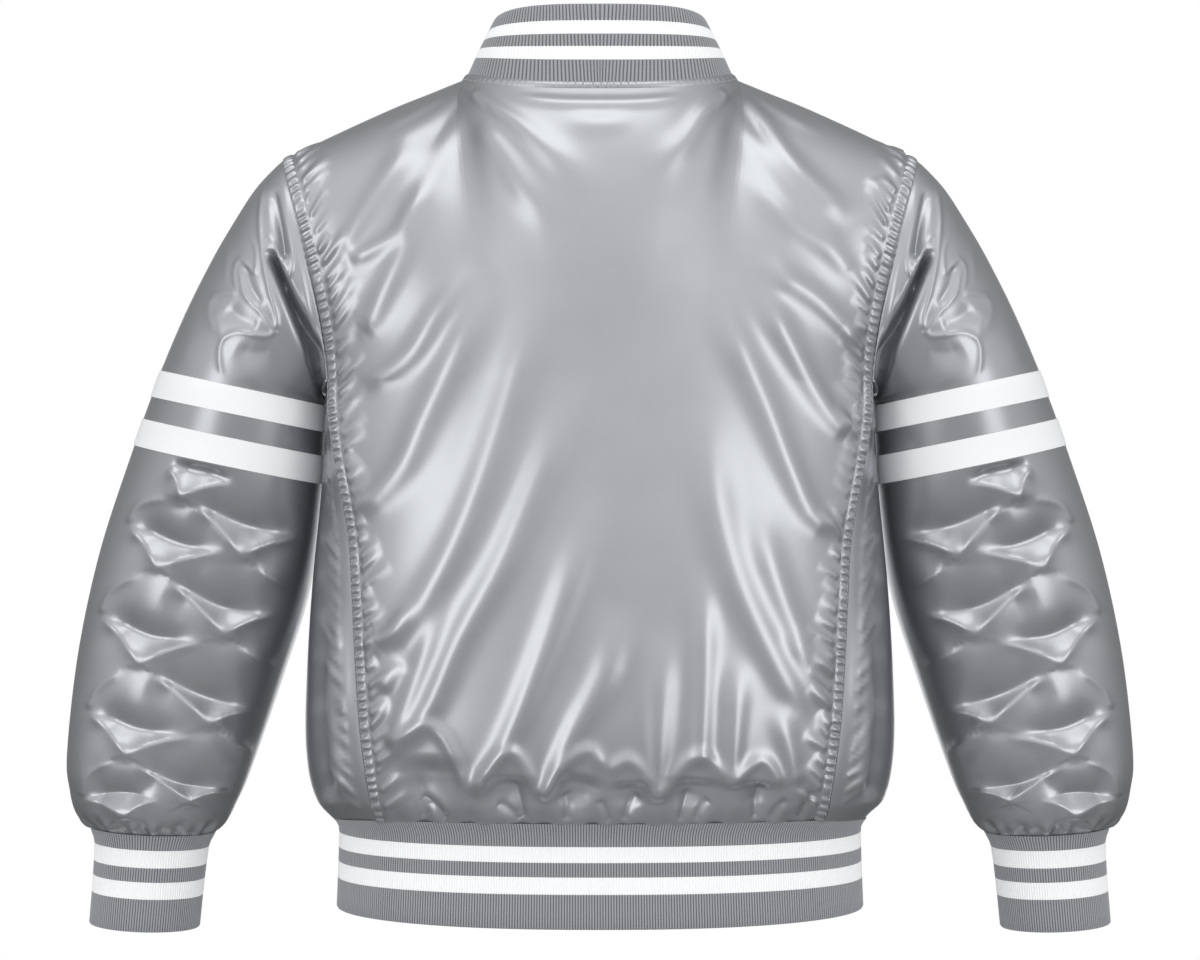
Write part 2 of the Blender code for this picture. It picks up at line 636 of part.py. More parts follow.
def add_sleeve(side_name, sign, satin, white, armhole):
    outer, outward = sleeve_sheet(armhole)
    inner = outer - outward * SATIN_WALL
    bands = []
    for first, last in STRIPE_ROWS:
        rows = [int(np.argmin(np.abs(sleeve_rows() - section))) for section in (first, last)]
        under = outer[rows] + outward[rows] * SEAM_GAP
        bands.append((under + outward[rows] * STRIPE_WALL, under))
    flip = mirrored if sign < 0 else np.asarray
    add_wall("sleeve_" + side_name, flip(outer), flip(inner), satin, closed=True)
    for label, (band_outer, band_inner) in zip(("upper", "lower"), bands):
        add_wall(f"sleeve_stripe_{label}_{side_name}", flip(band_outer), flip(band_inner), white, closed=True)


def cuff_rings():
    """The cuff's rings, on an axis that leans a little outwards, one seam gap below the sleeve."""
    outer_x, outer_z, inner_x, inner_z, centre_y, _ = SLEEVE_SECTIONS[-1]
    centre = np.array([(outer_x + inner_x) / 2, centre_y, (outer_z + inner_z) / 2])
    across = unit(np.array([outer_x - inner_x, 0.0, outer_z - inner_z]))
    down = unit(np.array([across[2], 0.0, -across[0]]))
    rings, normals = [], []
    for below, half_width, half_depth in CUFF_RINGS:
        middle = centre + down * (below + SEAM_GAP) + across * CUFF_LEAN * 0.5 * below
        ring, out = [], []
        for k in range(CUFF_COLUMNS):
            turn = 2 * math.pi * k / CUFF_COLUMNS
            sideways = across * half_width * math.cos(turn)
            ring.append(middle + sideways + np.array([0, -half_depth * math.sin(turn), 0]))
            slope = across * math.cos(turn) / half_width + np.array([0, -math.sin(turn) / half_depth, 0])
            out.append(unit(slope))
        rings.append(ring)
        normals.append(out)
    return np.array(rings), np.array(normals)


def add_cuff(side_name, sign, material):
    rings, normals = cuff_rings()
    flip = mirrored if sign < 0 else np.asarray
    add_ribbed_band("cuff_" + side_name, flip(rings), flip(normals), CUFF_RIDGES, material)


def hem_rings():
    """The hem band's rings, open by a slit at the edge of the upper front."""
    rings, normals = [], []
    for height, half_width, back_depth, front_depth, drop in HEM_RINGS:
        half = oval_half(half_width, back_depth, front_depth, BODY_SQUARENESS)
        loop = np.concatenate([mirrored(np.pad(half, ((0, 0), (0, 1))))[:0:-1, :2], half])
        along = lengths_along(loop)
        whole = along[-1]
        slit = whole - np.interp(FRONT_OVERLAP, loop[:90, 0] * -1.0, along[:90])
        places = np.linspace(slit + SEAM_GAP, whole + slit - SEAM_GAP, HEM_COLUMNS + 1)

        def on_loop(at):
            return np.stack([np.interp(at % whole, along, loop[:, axis]) for axis in (0, 1)], axis=1)

        ring = on_loop(places)
        slope = on_loop(places + STEP) - on_loop(places - STEP)
        sag = drop * np.clip(-ring[:, 1] / back_depth, 0.0, 1.0) ** 2
        heights = height - sag
        if height == HEM_SEAM_Z:
            heights = height + np.array([hem_rise(y, back_depth if y < 0 else front_depth) for y in ring[:, 1]])
        rings.append(np.column_stack([ring, heights]))
        normals.append(level_out(np.column_stack([slope[:, 1], -slope[:, 0], np.zeros(len(ring))])))
    return np.array(rings), np.array(normals)


def neck_turns():
    """Column places round the neck, from one side of the centre front round the back to the other."""
    half = np.linspace(0.0, math.pi / 2, NECK_COLUMNS + 1)
    slit = SEAM_GAP / NECK_RINGS["collar_top"][0]
    right = np.concatenate([half, math.pi - half[-2::-1]])
    right[-1] = math.pi - slit
    return np.concatenate([-right[:0:-1], right])


def neck_rows(low, high, shift_low, shift_high, turns):
    """Two rows of a neck piece, each moved along the piece by half a seam gap, with the directions out."""
    out_low, across = neck_seam(low, high, turns)
    lower = np.array([neck_point(low, t) for t in turns]) + across * shift_low
    upper = np.array([neck_point(high, t) for t in turns]) + across * shift_high
    return np.array([lower, upper]), np.array([out_low, out_low])


def add_neck(satin, rib):
    turns = neck_turns()
    half_gap = SEAM_GAP / 2
    strip, strip_out = neck_rows("neckline", "collar_base", half_gap, -half_gap, turns)
    collar, collar_out = neck_rows("collar_base", "collar_top", half_gap, 0.0, turns)
    joint_out = strip_out[1] + collar_out[0]
    joint_out /= np.linalg.norm(joint_out, axis=1, keepdims=True)
    strip_out[1], collar_out[0] = joint_out, joint_out
    add_wall("neck_binding", strip, strip - strip_out * SATIN_WALL, satin)
    add_ribbed_band("collar_rib", collar, collar_out, COLLAR_RIDGES, rib, closed=False)


def add_snap(name, point, outward, material):
    """A domed cap whose flat back lies one seam gap off the cloth, turned to face along outward."""
    sideways = unit(np.cross(np.array([0.0, 0.0, 1.0]), outward))
    upward = np.cross(outward, sideways)
    profile = [(share * SNAP_RADIUS, rise * SNAP_HEIGHT) for share, rise in SNAP_PROFILE]
    base = point + outward * SEAM_GAP
    vertices, faces = [], []
    for radius, rise in profile:
        for k in range(SNAP_SIDES):
            turn = 2 * math.pi * k / SNAP_SIDES
            spoke = sideways * math.cos(turn) + upward * math.sin(turn)
            vertices.append(base + outward * rise + spoke * radius)
    vertices.append(base + outward * SNAP_HEIGHT)
    top = len(vertices) - 1
    faces.append(tuple(range(SNAP_SIDES)))
    for row in range(len(profile) - 1):
        for k in range(SNAP_SIDES):
            ahead = (k + 1) % SNAP_SIDES
            low, high = row * SNAP_SIDES, (row + 1) * SNAP_SIDES
            faces.append((low + k, low + ahead, high + ahead, high + k))
    ring = (len(profile) - 1) * SNAP_SIDES
    faces += [(ring + k, ring + (k + 1) % SNAP_SIDES, top) for k in range(SNAP_SIDES)]
    add_object(name, vertices, faces, material)


def level_at(height):
    """The level on the centre front line that lies at a height."""
    levels = np.linspace(0.0, 2.0, 401)
    heights = [body_point("front", 0.0, level)[2] for level in levels]
    return float(np.interp(height, heights, levels))


def add_snaps(material):
    for number, height in enumerate(SNAP_HEIGHTS, start=1):
        level = level_at(height)
        outward = body_normal("front", 0.0, level)
        seat = body_point("front", 0.0, level) + outward * OVERLAP_LIFT
        add_snap(f"snap_{number}", seat, outward, material)
    top_z, top_depth = HEM_RINGS[0][0] + HEM_RISE, HEM_RINGS[0][3]
    bottom_z, bottom_depth = HEM_RINGS[1][0], HEM_RINGS[1][3]
    share = (HEM_SNAP_Z - top_z) / (bottom_z - top_z)
    outward = unit(np.array([0.0, top_z - bottom_z, bottom_depth - top_depth]))
    front = np.array([0.0, top_depth + share * (bottom_depth - top_depth), HEM_SNAP_Z])
    add_snap("snap_hem", front + outward * RIDGE_HEIGHT, outward, material)


def make_materials():
    made = {}
    for name, (red, green, blue, roughness, metallic) in MATERIALS.items():
        material = bpy.data.materials.new(name)
        material.use_nodes = True
        shader = material.node_tree.nodes["Principled BSDF"]
        shader.inputs["Base Color"].default_value = (red, green, blue, 1.0)
        shader.inputs["Roughness"].default_value = roughness
        shader.inputs["Metallic"].default_value = metallic
        made[name] = material
    return made


def main():
    for item in list(bpy.data.objects):
        bpy.data.objects.remove(item)
    materials = make_materials()
    satin, rib = materials["silver_satin"], materials["grey_rib_knit"]
    white, nickel = materials["white_stripe_cloth"], materials["nickel_snap"]
    armhole = armhole_seam()
    add_back(satin, armhole)
    add_front("front_right", 1, False, satin, armhole)
    add_front("front_left", -1, True, satin, armhole)
    for side_name, sign in (("right", 1), ("left", -1)):
        add_sleeve(side_name, sign, satin, white, armhole)
        add_cuff(side_name, sign, rib)
    rings, normals = hem_rings()
    add_ribbed_band("hem_rib", rings, normals, HEM_RIDGES, rib, closed=False)
    add_neck(satin, rib)
    add_snaps(nickel)


main()
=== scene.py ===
# %% [markdown]
# # A silver satin jacket with rib-knit trims
# The jacket is shown from behind, filled out as if worn and empty inside. It is sewn from a satin back,
# two satin fronts and two satin sleeves. A knitted collar, two cuffs and a hem band pull the satin in,
# two white bands go round each sleeve, and snap fasteners close the front.
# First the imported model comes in. It is the frame: it stays still, and each piece made here follows it.

# %% Load the frame
import json
import math

import bpy
import numpy as np
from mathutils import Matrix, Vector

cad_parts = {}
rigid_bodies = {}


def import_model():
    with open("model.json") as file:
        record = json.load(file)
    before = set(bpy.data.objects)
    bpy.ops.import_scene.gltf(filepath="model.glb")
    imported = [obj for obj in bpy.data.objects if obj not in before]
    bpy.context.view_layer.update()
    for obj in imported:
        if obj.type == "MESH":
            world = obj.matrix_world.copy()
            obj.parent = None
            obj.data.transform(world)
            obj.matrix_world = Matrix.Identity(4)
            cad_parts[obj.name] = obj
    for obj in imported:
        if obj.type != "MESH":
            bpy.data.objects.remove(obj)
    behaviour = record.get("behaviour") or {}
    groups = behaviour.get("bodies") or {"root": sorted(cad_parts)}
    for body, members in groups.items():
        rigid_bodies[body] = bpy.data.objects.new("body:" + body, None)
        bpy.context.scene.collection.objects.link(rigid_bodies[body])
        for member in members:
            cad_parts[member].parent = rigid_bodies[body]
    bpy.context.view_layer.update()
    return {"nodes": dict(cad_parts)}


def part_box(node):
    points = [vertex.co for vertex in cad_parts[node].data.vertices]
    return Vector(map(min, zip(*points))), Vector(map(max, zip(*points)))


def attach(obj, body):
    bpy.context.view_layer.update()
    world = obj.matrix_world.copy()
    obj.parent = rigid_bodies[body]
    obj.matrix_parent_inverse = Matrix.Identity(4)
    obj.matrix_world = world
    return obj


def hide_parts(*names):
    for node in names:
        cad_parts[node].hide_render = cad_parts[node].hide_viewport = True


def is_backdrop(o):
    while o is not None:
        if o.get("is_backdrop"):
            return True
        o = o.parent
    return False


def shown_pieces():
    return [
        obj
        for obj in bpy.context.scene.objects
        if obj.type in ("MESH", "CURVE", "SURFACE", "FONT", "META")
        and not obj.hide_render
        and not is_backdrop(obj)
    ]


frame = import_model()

print("nodes in the frame:", len(frame["nodes"]))

# %% [markdown]
# ## The camera
# The camera stands straight behind the jacket, 2.1 m away and level with its middle. At that distance the
# middle of the back, which comes towards us, looks about 5% larger than the sides, as it does in the picture.
# The picture is 1200 by 960, and 0.96 m wide where the shoulders are.

# %% Camera
VIEW_DISTANCE, VIEW_HEIGHT = 2.1, -0.312
SENSOR_WIDTH, PICTURE_WIDTH = 36.0, 0.96
bpy.ops.object.select_all(action="DESELECT")
bpy.ops.object.camera_add(location=(0.0, -VIEW_DISTANCE, VIEW_HEIGHT), rotation=(math.pi / 2, 0.0, 0.0))
camera = bpy.context.object
camera.data.sensor_width = SENSOR_WIDTH
camera.data.lens = SENSOR_WIDTH * VIEW_DISTANCE / PICTURE_WIDTH
bpy.context.scene.camera = camera
bpy.context.scene.view_settings.view_transform = "Standard"
print("lens:", round(camera.data.lens, 2), "mm")

# %% [markdown]
# ## Curves through a few sizes
# A cutter works from a few sizes and draws smooth lines through them. These helpers do the same for whole
# rows of points at once, which keeps a mesh of many thousand points quick to make.

# %% Helpers for smooth lines
MM = 0.001


def unit(vectors):
    return vectors / np.linalg.norm(vectors, axis=-1, keepdims=True)


def smooth_step(value, start, end):
    share = np.clip((np.asarray(value, float) - start) / (end - start), 0.0, 1.0)
    return share * share * (3.0 - 2.0 * share)


def hermite(start, end, start_slope, end_slope, share):
    a, b = share**2, share**3
    first = (2 * b - 3 * a + 1) * start + (b - 2 * a + share) * start_slope
    return first + (3 * a - 2 * b) * end + (b - a) * end_slope


def read_between(places, rows, at):
    """Rows of a table at any places between its own, on smooth curves through them."""
    places, rows, at = np.asarray(places, float), np.asarray(rows, float), np.asarray(at, float)
    ends = np.arange(len(places))
    low, high = np.maximum(ends - 1, 0), np.minimum(ends + 1, len(places) - 1)
    slopes = (rows[high] - rows[low]) / (places[high] - places[low])[:, None]
    i = np.clip(np.searchsorted(places, at) - 1, 0, len(places) - 2)
    span = (places[i + 1] - places[i])[..., None]
    share = (at - places[i])[..., None] / span
    return hermite(rows[i], rows[i + 1], slopes[i] * span, slopes[i + 1] * span, share)


def lengths_along(points):
    steps = np.linalg.norm(np.diff(points, axis=0), axis=1)
    return np.concatenate([[0.0], np.cumsum(steps)])


print("half way up a smooth step:", float(smooth_step(0.5, 0, 1)))

# %% [markdown]
# ## The body's form
# Below the arms the body is a stack of squarish ovals: wide over the chest, widest where the cloth
# balloons over the hem, and drawn in where the knit grips it. Above the arms each column of points bends
# from the oval up to the neckline or the shoulder seam. The sizes are those of the solids, so that the
# cloth lies on them. The hem seam is a little higher at the middle than at the sides.

# %% Sizes of the body
HEM_SEAM_Z, HEM_RISE, HEM_RISE_END = -0.581, 0.008, -0.500
UNDERARM_Z = -0.236
BODY_SQUARENESS = 2.3
BODY_SECTIONS = np.array([
    # height, half_width, back_depth, front_depth, side_seam_x
    (-0.587, 0.2068, 0.1045, 0.1080, 0.172),
    (-0.580, 0.2130, 0.1120, 0.1155, 0.174),
    (-0.566, 0.2258, 0.1200, 0.1240, 0.177),
    (-0.536, 0.2332, 0.1265, 0.1310, 0.181),
    (-0.490, 0.2345, 0.1290, 0.1335, 0.186),
    (-0.392, 0.2290, 0.1265, 0.1320, 0.192),
    (-0.312, 0.2205, 0.1215, 0.1290, 0.196),
    (-0.236, 0.2130, 0.1155, 0.1245, 0.1970),
])
EDGE_FLARE = 0.016  # how far the seam is drawn out sideways below the arm
FLARE_START, FLARE_END = -0.375, -0.245
FLARE_POWER = {"back": 6, "front": 12}
SHOULDER_NECK, SHOULDER_TIP = np.array((0.1100, 0.0, 0.0075)), np.array((0.2530, 0.0, -0.0570))
SHOULDER_ARCH = 0.0018
NECK_RINGS = {
    # half_width, back_depth, front_depth, back_z, side_z, front_z, squareness
    "neckline": (0.1100, 0.0800, 0.0920, -0.0105, 0.0075, -0.0720, 2.5),
    "collar_base": (0.1030, 0.0780, 0.0890, -0.0025, 0.0145, -0.0640, 2.5),
    "collar_top": (0.0838, 0.0670, 0.0780, 0.0570, 0.0495, -0.0130, 3.2),
}
NECK_SHARE = 7 / 16  # share of a panel's half width that the neckline takes
CORNER_SOFTNESS = 0.16
# how the cloth sets off from the underarm and arrives at the top edge
RISE_LENGTH = {"back": 0.215, "front": 0.190}
ARMHOLE_RISE = {"back": (0.0, -0.020, 0.200), "front": (0.020, 0.430, -0.015)}
NECK_LEAN = {"back": (0.0, 0.110, 0.190), "front": (0.0, -0.085, 0.150)}
SHOULDER_ROLL = {"back": (0.0, 0.245, 0.0), "front": (0.0, -0.205, 0.0)}
print("sections of the body:", len(BODY_SECTIONS))

# %% Level rows below the arm


def oval_half(half_width, back_depth, front_depth, count=1441):
    turn = np.linspace(0.0, math.pi, count)
    across, along = np.maximum(np.sin(turn), 0.0), np.cos(turn)
    power = 2.0 / BODY_SQUARENESS
    depth = np.where(along > 0, back_depth, front_depth)
    return np.stack([half_width * across**power, -depth * np.sign(along) * np.abs(along) ** power], axis=1)


def hem_rise(y, back_depth, front_depth):
    return HEM_RISE * smooth_step(np.abs(y) / np.where(y < 0, back_depth, front_depth), 0.0, 1.0)


def section_row(side, shares, height):
    """One level row of half a panel: share 0 is its middle and 1 the side seam."""
    sizes = read_between(BODY_SECTIONS[:, 0], BODY_SECTIONS[:, 1:], height)
    half_width, back_depth, front_depth, seam_x = sizes
    oval = oval_half(half_width, back_depth, front_depth)
    along = lengths_along(oval)
    middle = len(oval) // 2
    at_seam = np.interp(seam_x, oval[: middle + 1, 0], along[: middle + 1])
    place = shares * at_seam if side == "back" else at_seam + (1 - shares) * (along[-1] - at_seam)
    x, y = np.interp(place, along, oval[:, 0]), np.interp(place, along, oval[:, 1])
    x = x + EDGE_FLARE * smooth_step(height, FLARE_START, FLARE_END) * shares ** FLARE_POWER[side]
    near_hem = 1.0 - smooth_step(height, HEM_SEAM_Z, HEM_RISE_END)
    return np.stack([x, y, height + hem_rise(y, back_depth, front_depth) * near_hem], axis=1)


print("side seam at the hem:", np.round(section_row("back", np.array([1.0]), HEM_SEAM_Z)[0], 4))

# %% The neck and the top edge


def neck_ring(ring, turn):
    """Points of a neck ring: turn is 0 at the centre back and pi at the centre front."""
    half_width, back_depth, front_depth, back_z, side_z, front_z, squareness = NECK_RINGS[ring]
    across, along = np.sin(turn), np.cos(turn)
    depth, end_z = np.where(along >= 0, -back_depth, front_depth), np.where(along >= 0, back_z, front_z)
    power = 2.0 / squareness
    share = np.abs(along) ** power
    x = half_width * np.sign(across) * np.abs(across) ** power
    return np.stack([x, depth * share, side_z + (end_z - side_z) * share**1.4], axis=-1)


def top_row(side, shares):
    turn = np.minimum(shares / NECK_SHARE, 1.0) * math.pi / 2
    neckline = neck_ring("neckline", turn if side == "back" else math.pi - turn)
    along = np.clip((shares - NECK_SHARE) / (1.0 - NECK_SHARE), 0.0, 1.0)[:, None]
    arch = np.array((0.0, 0.0, 4.0 * SHOULDER_ARCH)) * along * (1.0 - along)
    shoulder = SHOULDER_NECK * (1 - along) + SHOULDER_TIP * along + arch
    return np.where((shares < NECK_SHARE)[:, None], neckline, shoulder)


def soft_top_row(side, shares):
    """The top edge with its corner at the neck rounded off, which the cloth below it follows."""
    total = 0.0
    weights = np.hanning(19)[1:-1]
    for offset, weight in zip(np.linspace(-CORNER_SOFTNESS, CORNER_SOFTNESS, 17), weights):
        moved = shares + offset * (1.0 - smooth_step(shares, 0.60, 0.84))
        row = top_row(side, np.abs(moved))
        row[:, 0] *= np.sign(moved + 1e-12)
        total = total + row * weight
    return total / weights.sum()


print("neck corner:", np.round(top_row("back", np.array([NECK_SHARE]))[0], 4))

# %% Rows of half a panel


def upper_slopes(side, shares):
    near_armhole = (shares**3)[:, None]
    step = 0.004
    below = section_row(side, shares, UNDERARM_Z - step)
    rise = (section_row(side, shares, UNDERARM_Z) - below) / step * RISE_LENGTH[side]
    rise = rise * (1 - near_armhole) + np.array(ARMHOLE_RISE[side]) * near_armhole
    on_shoulder = smooth_step(shares, 0.35 * NECK_SHARE, 1.5 * NECK_SHARE)[:, None]
    arrive = np.array(NECK_LEAN[side]) * (1 - on_shoulder) + np.array(SHOULDER_ROLL[side]) * on_shoulder
    return rise, arrive


def body_grid(side, shares, levels):
    """Rows of half a panel. Level 0 is the hem seam, 1 the underarm and 2 the top edge."""
    start = section_row(side, shares, UNDERARM_Z)
    edge, soft_edge = top_row(side, shares), soft_top_row(side, shares)
    rise, arrive = upper_slopes(side, shares)
    rows = []
    for level in levels:
        if level <= 1:
            rows.append(section_row(side, shares, HEM_SEAM_Z + (UNDERARM_Z - HEM_SEAM_Z) * level))
        else:
            near_edge = smooth_step(level, 1.70, 2.0)
            top = soft_edge * (1 - near_edge) + edge * near_edge
            rows.append(hermite(start, top, rise, arrive, level - 1))
    return np.array(rows)


print("middle of the back's neckline:", np.round(body_grid("back", np.array([0.0]), [2.0])[0, 0], 4))

# %% [markdown]
# ## Folds as lines on the cloth
# Satin folds run in long soft ridges from where the cloth hangs to where it is held. Each one here is a line
# of a few points, with a half width at its start and end, a height, and the shares of its length over which
# it fades in and out. The points are millimetres as seen from behind, so a fold lands where the eye finds it.
# A cloth simulation would give folds too, but not these ones in these places.

# %% Ridges and troughs along lines
FOLD_REACH = 3.2  # widths from its line at which a fold has died away


def as_seen(points):
    """Where points appear from behind, in millimetres across and up at the shoulders' distance."""
    size = VIEW_DISTANCE / (VIEW_DISTANCE + points[..., 1])
    across = points[..., 0] * size
    up = VIEW_HEIGHT + (points[..., 2] - VIEW_HEIGHT) * size
    return across / MM, up / MM


def smooth_line(points, count=20):
    points = np.asarray(points, float)
    places = lengths_along(points)
    return read_between(places, points, np.linspace(0.0, places[-1], count))


def line_lift(across, up, folds, sharpness=2.0):
    """The lift in millimetres that a table of folds gives at each place."""
    lift = np.zeros(across.shape)
    for points, start_width, end_width, height, fade_in, fade_out in folds:
        line = smooth_line(points)
        reach = FOLD_REACH * max(start_width, end_width)
        low, high = line.min(axis=0) - reach, line.max(axis=0) + reach
        near = (across > low[0]) & (across < high[0]) & (up > low[1]) & (up < high[1])
        if not near.any():
            continue
        x, z = across[near], up[near]
        best, share = np.full(x.shape, 1e9), np.zeros(x.shape)
        for k in range(len(line) - 1):
            a, run = line[k], line[k + 1] - line[k]
            t = np.clip(((x - a[0]) * run[0] + (z - a[1]) * run[1]) / (run @ run), 0.0, 1.0)
            away = np.hypot(x - a[0] - t * run[0], z - a[1] - t * run[1])
            closer = away < best
            best = np.where(closer, away, best)
            share = np.where(closer, (k + t) / (len(line) - 1), share)
        width = start_width + (end_width - start_width) * share
        fade = smooth_step(share, 0.0, fade_in) * (1.0 - smooth_step(share, 1.0 - fade_out, 1.0))
        lift[near] += height * fade * np.exp(-((best / width) ** sharpness))
    return lift


print("a 5 mm fold half a width from its line:", round(5 * math.exp(-0.25), 2), "mm")

# %% [markdown]
# ## Cloth as a thin shell
# Each panel is a fine sheet of points outside and a plainer sheet inside, closed along the edges. The inside
# needs only every third row and column, which leaves the points for the folds that show. The sheet's own
# lengths become its UV map, in metres, so that a weave keeps its real size.

# %% Add a mesh
SHARP_ANGLE = 60


def grid_normals(points, closed=False):
    if closed:
        across = np.roll(points, -1, axis=1) - np.roll(points, 1, axis=1)
    else:
        across = np.gradient(points, axis=1)
    return unit(np.cross(across, np.gradient(points, axis=0)))


def add_mesh(name, vertices, faces, uv_corners, slots=None):
    mesh = bpy.data.meshes.new(name)
    mesh.from_pydata(vertices.tolist(), [], faces)
    layer = mesh.uv_layers.new(name="cloth")
    layer.data.foreach_set("uv", np.asarray(uv_corners, np.float32).ravel())
    if slots is not None:
        mesh.polygons.foreach_set("material_index", slots)
    mesh.shade_smooth()
    piece = bpy.data.objects.new(name, mesh)
    bpy.context.scene.collection.objects.link(piece)
    bpy.ops.object.select_all(action="DESELECT")
    piece.select_set(True)
    bpy.context.view_layer.objects.active = piece
    bpy.ops.object.mode_set(mode="EDIT")
    bpy.ops.mesh.select_all(action="SELECT")
    bpy.ops.mesh.normals_make_consistent(inside=False)
    bpy.ops.object.mode_set(mode="OBJECT")
    mesh.set_sharp_from_angle(angle=math.radians(SHARP_ANGLE))
    return piece


print("edges stay sharp over", SHARP_ANGLE, "degrees")

# %% Build a shell
INNER_STEP = 3  # fine rows or columns to each inner one


def quads(rows, columns, first, closed):
    r, c = np.meshgrid(np.arange(rows - 1), np.arange(columns if closed else columns - 1), indexing="ij")
    ahead = (c + 1) % columns
    corners = [r * columns + c, r * columns + ahead, (r + 1) * columns + ahead, (r + 1) * columns + c]
    places = [(r, c), (r, c + 1), (r + 1, c + 1), (r + 1, c)]
    faces = np.stack(corners, axis=-1).reshape(-1, 4) + first
    where = np.stack([np.stack(place, axis=-1) for place in places], axis=2).reshape(-1, 2)
    return faces, where


def cloth_shell(name, outer, inner, row_step=INNER_STEP, column_step=INNER_STEP, closed=False, row_slots=None):
    """A closed wall from a fine outer sheet and a plainer inner one. Each step counts fine edges to an inner one."""
    rows, columns = outer.shape[:2]
    inner_rows, inner_columns = inner.shape[:2]
    first = rows * columns
    vertices = np.concatenate([outer.reshape(-1, 3), inner.reshape(-1, 3)])
    along = lengths_along(outer[:, columns // 3])
    around = outer[rows // 2]
    around = lengths_along(np.concatenate([around, around[:1]]) if closed else around)
    faces, where = quads(rows, columns, 0, closed)
    corners = [np.stack([around[where[:, 1]], along[where[:, 0]]], axis=1)]
    slots = np.repeat(row_slots if row_slots else [0] * (rows - 1), columns if closed else columns - 1).tolist()
    inner_faces, where = quads(inner_rows, inner_columns, first, closed)
    corners.append(np.stack([around[where[:, 1] * column_step], along[where[:, 0] * row_step]], axis=1))
    faces = faces.tolist() + inner_faces.tolist()
    rims = []
    for row, inner_row in ((0, 0), (rows - 1, inner_rows - 1)):
        for k in range(inner_columns if closed else inner_columns - 1):
            fine = [row * columns + (k * column_step + j) % columns for j in range(column_step + 1)]
            rims.append(fine + [first + inner_row * inner_columns + (k + j) % inner_columns for j in (1, 0)])
    for column, inner_column in () if closed else ((0, 0), (columns - 1, inner_columns - 1)):
        for k in range(inner_rows - 1):
            fine = [(k * row_step + j) * columns + column for j in range(row_step + 1)]
            rims.append(fine + [first + (k + j) * inner_columns + inner_column for j in (1, 0)])
    corners.append(np.zeros((sum(len(rim) for rim in rims), 2)))
    faces += rims
    slots += [0] * (len(faces) - len(slots))
    piece = add_mesh(name, vertices, faces, np.concatenate(corners), slots)
    print(name, "faces:", len(faces))
    return piece


print("outer points to one inner point:", INNER_STEP**2)

# %% Inner sheets and turned pieces


def thinned(points):
    return points[::INNER_STEP, ::INNER_STEP]


def mirrored(points):
    return np.asarray(points) * np.array([-1.0, 1.0, 1.0])


SIDES = {"right": np.asarray, "left": mirrored}  # pieces are made for the right side and turned over for the left
print("sides:", *SIDES)

# %% [markdown]
# ## The back
# The back is one piece of satin. Long folds fan out from the neck corners and slant down to the side seams,
# where they end in small hooks. Near the hem they draw in to points, and the gathers of the knit make short dark
# tucks between them. Along the armhole and the side seam, tight stitching puckers the cloth into a narrow
# crimped band with leaf-shaped puckers beside it.

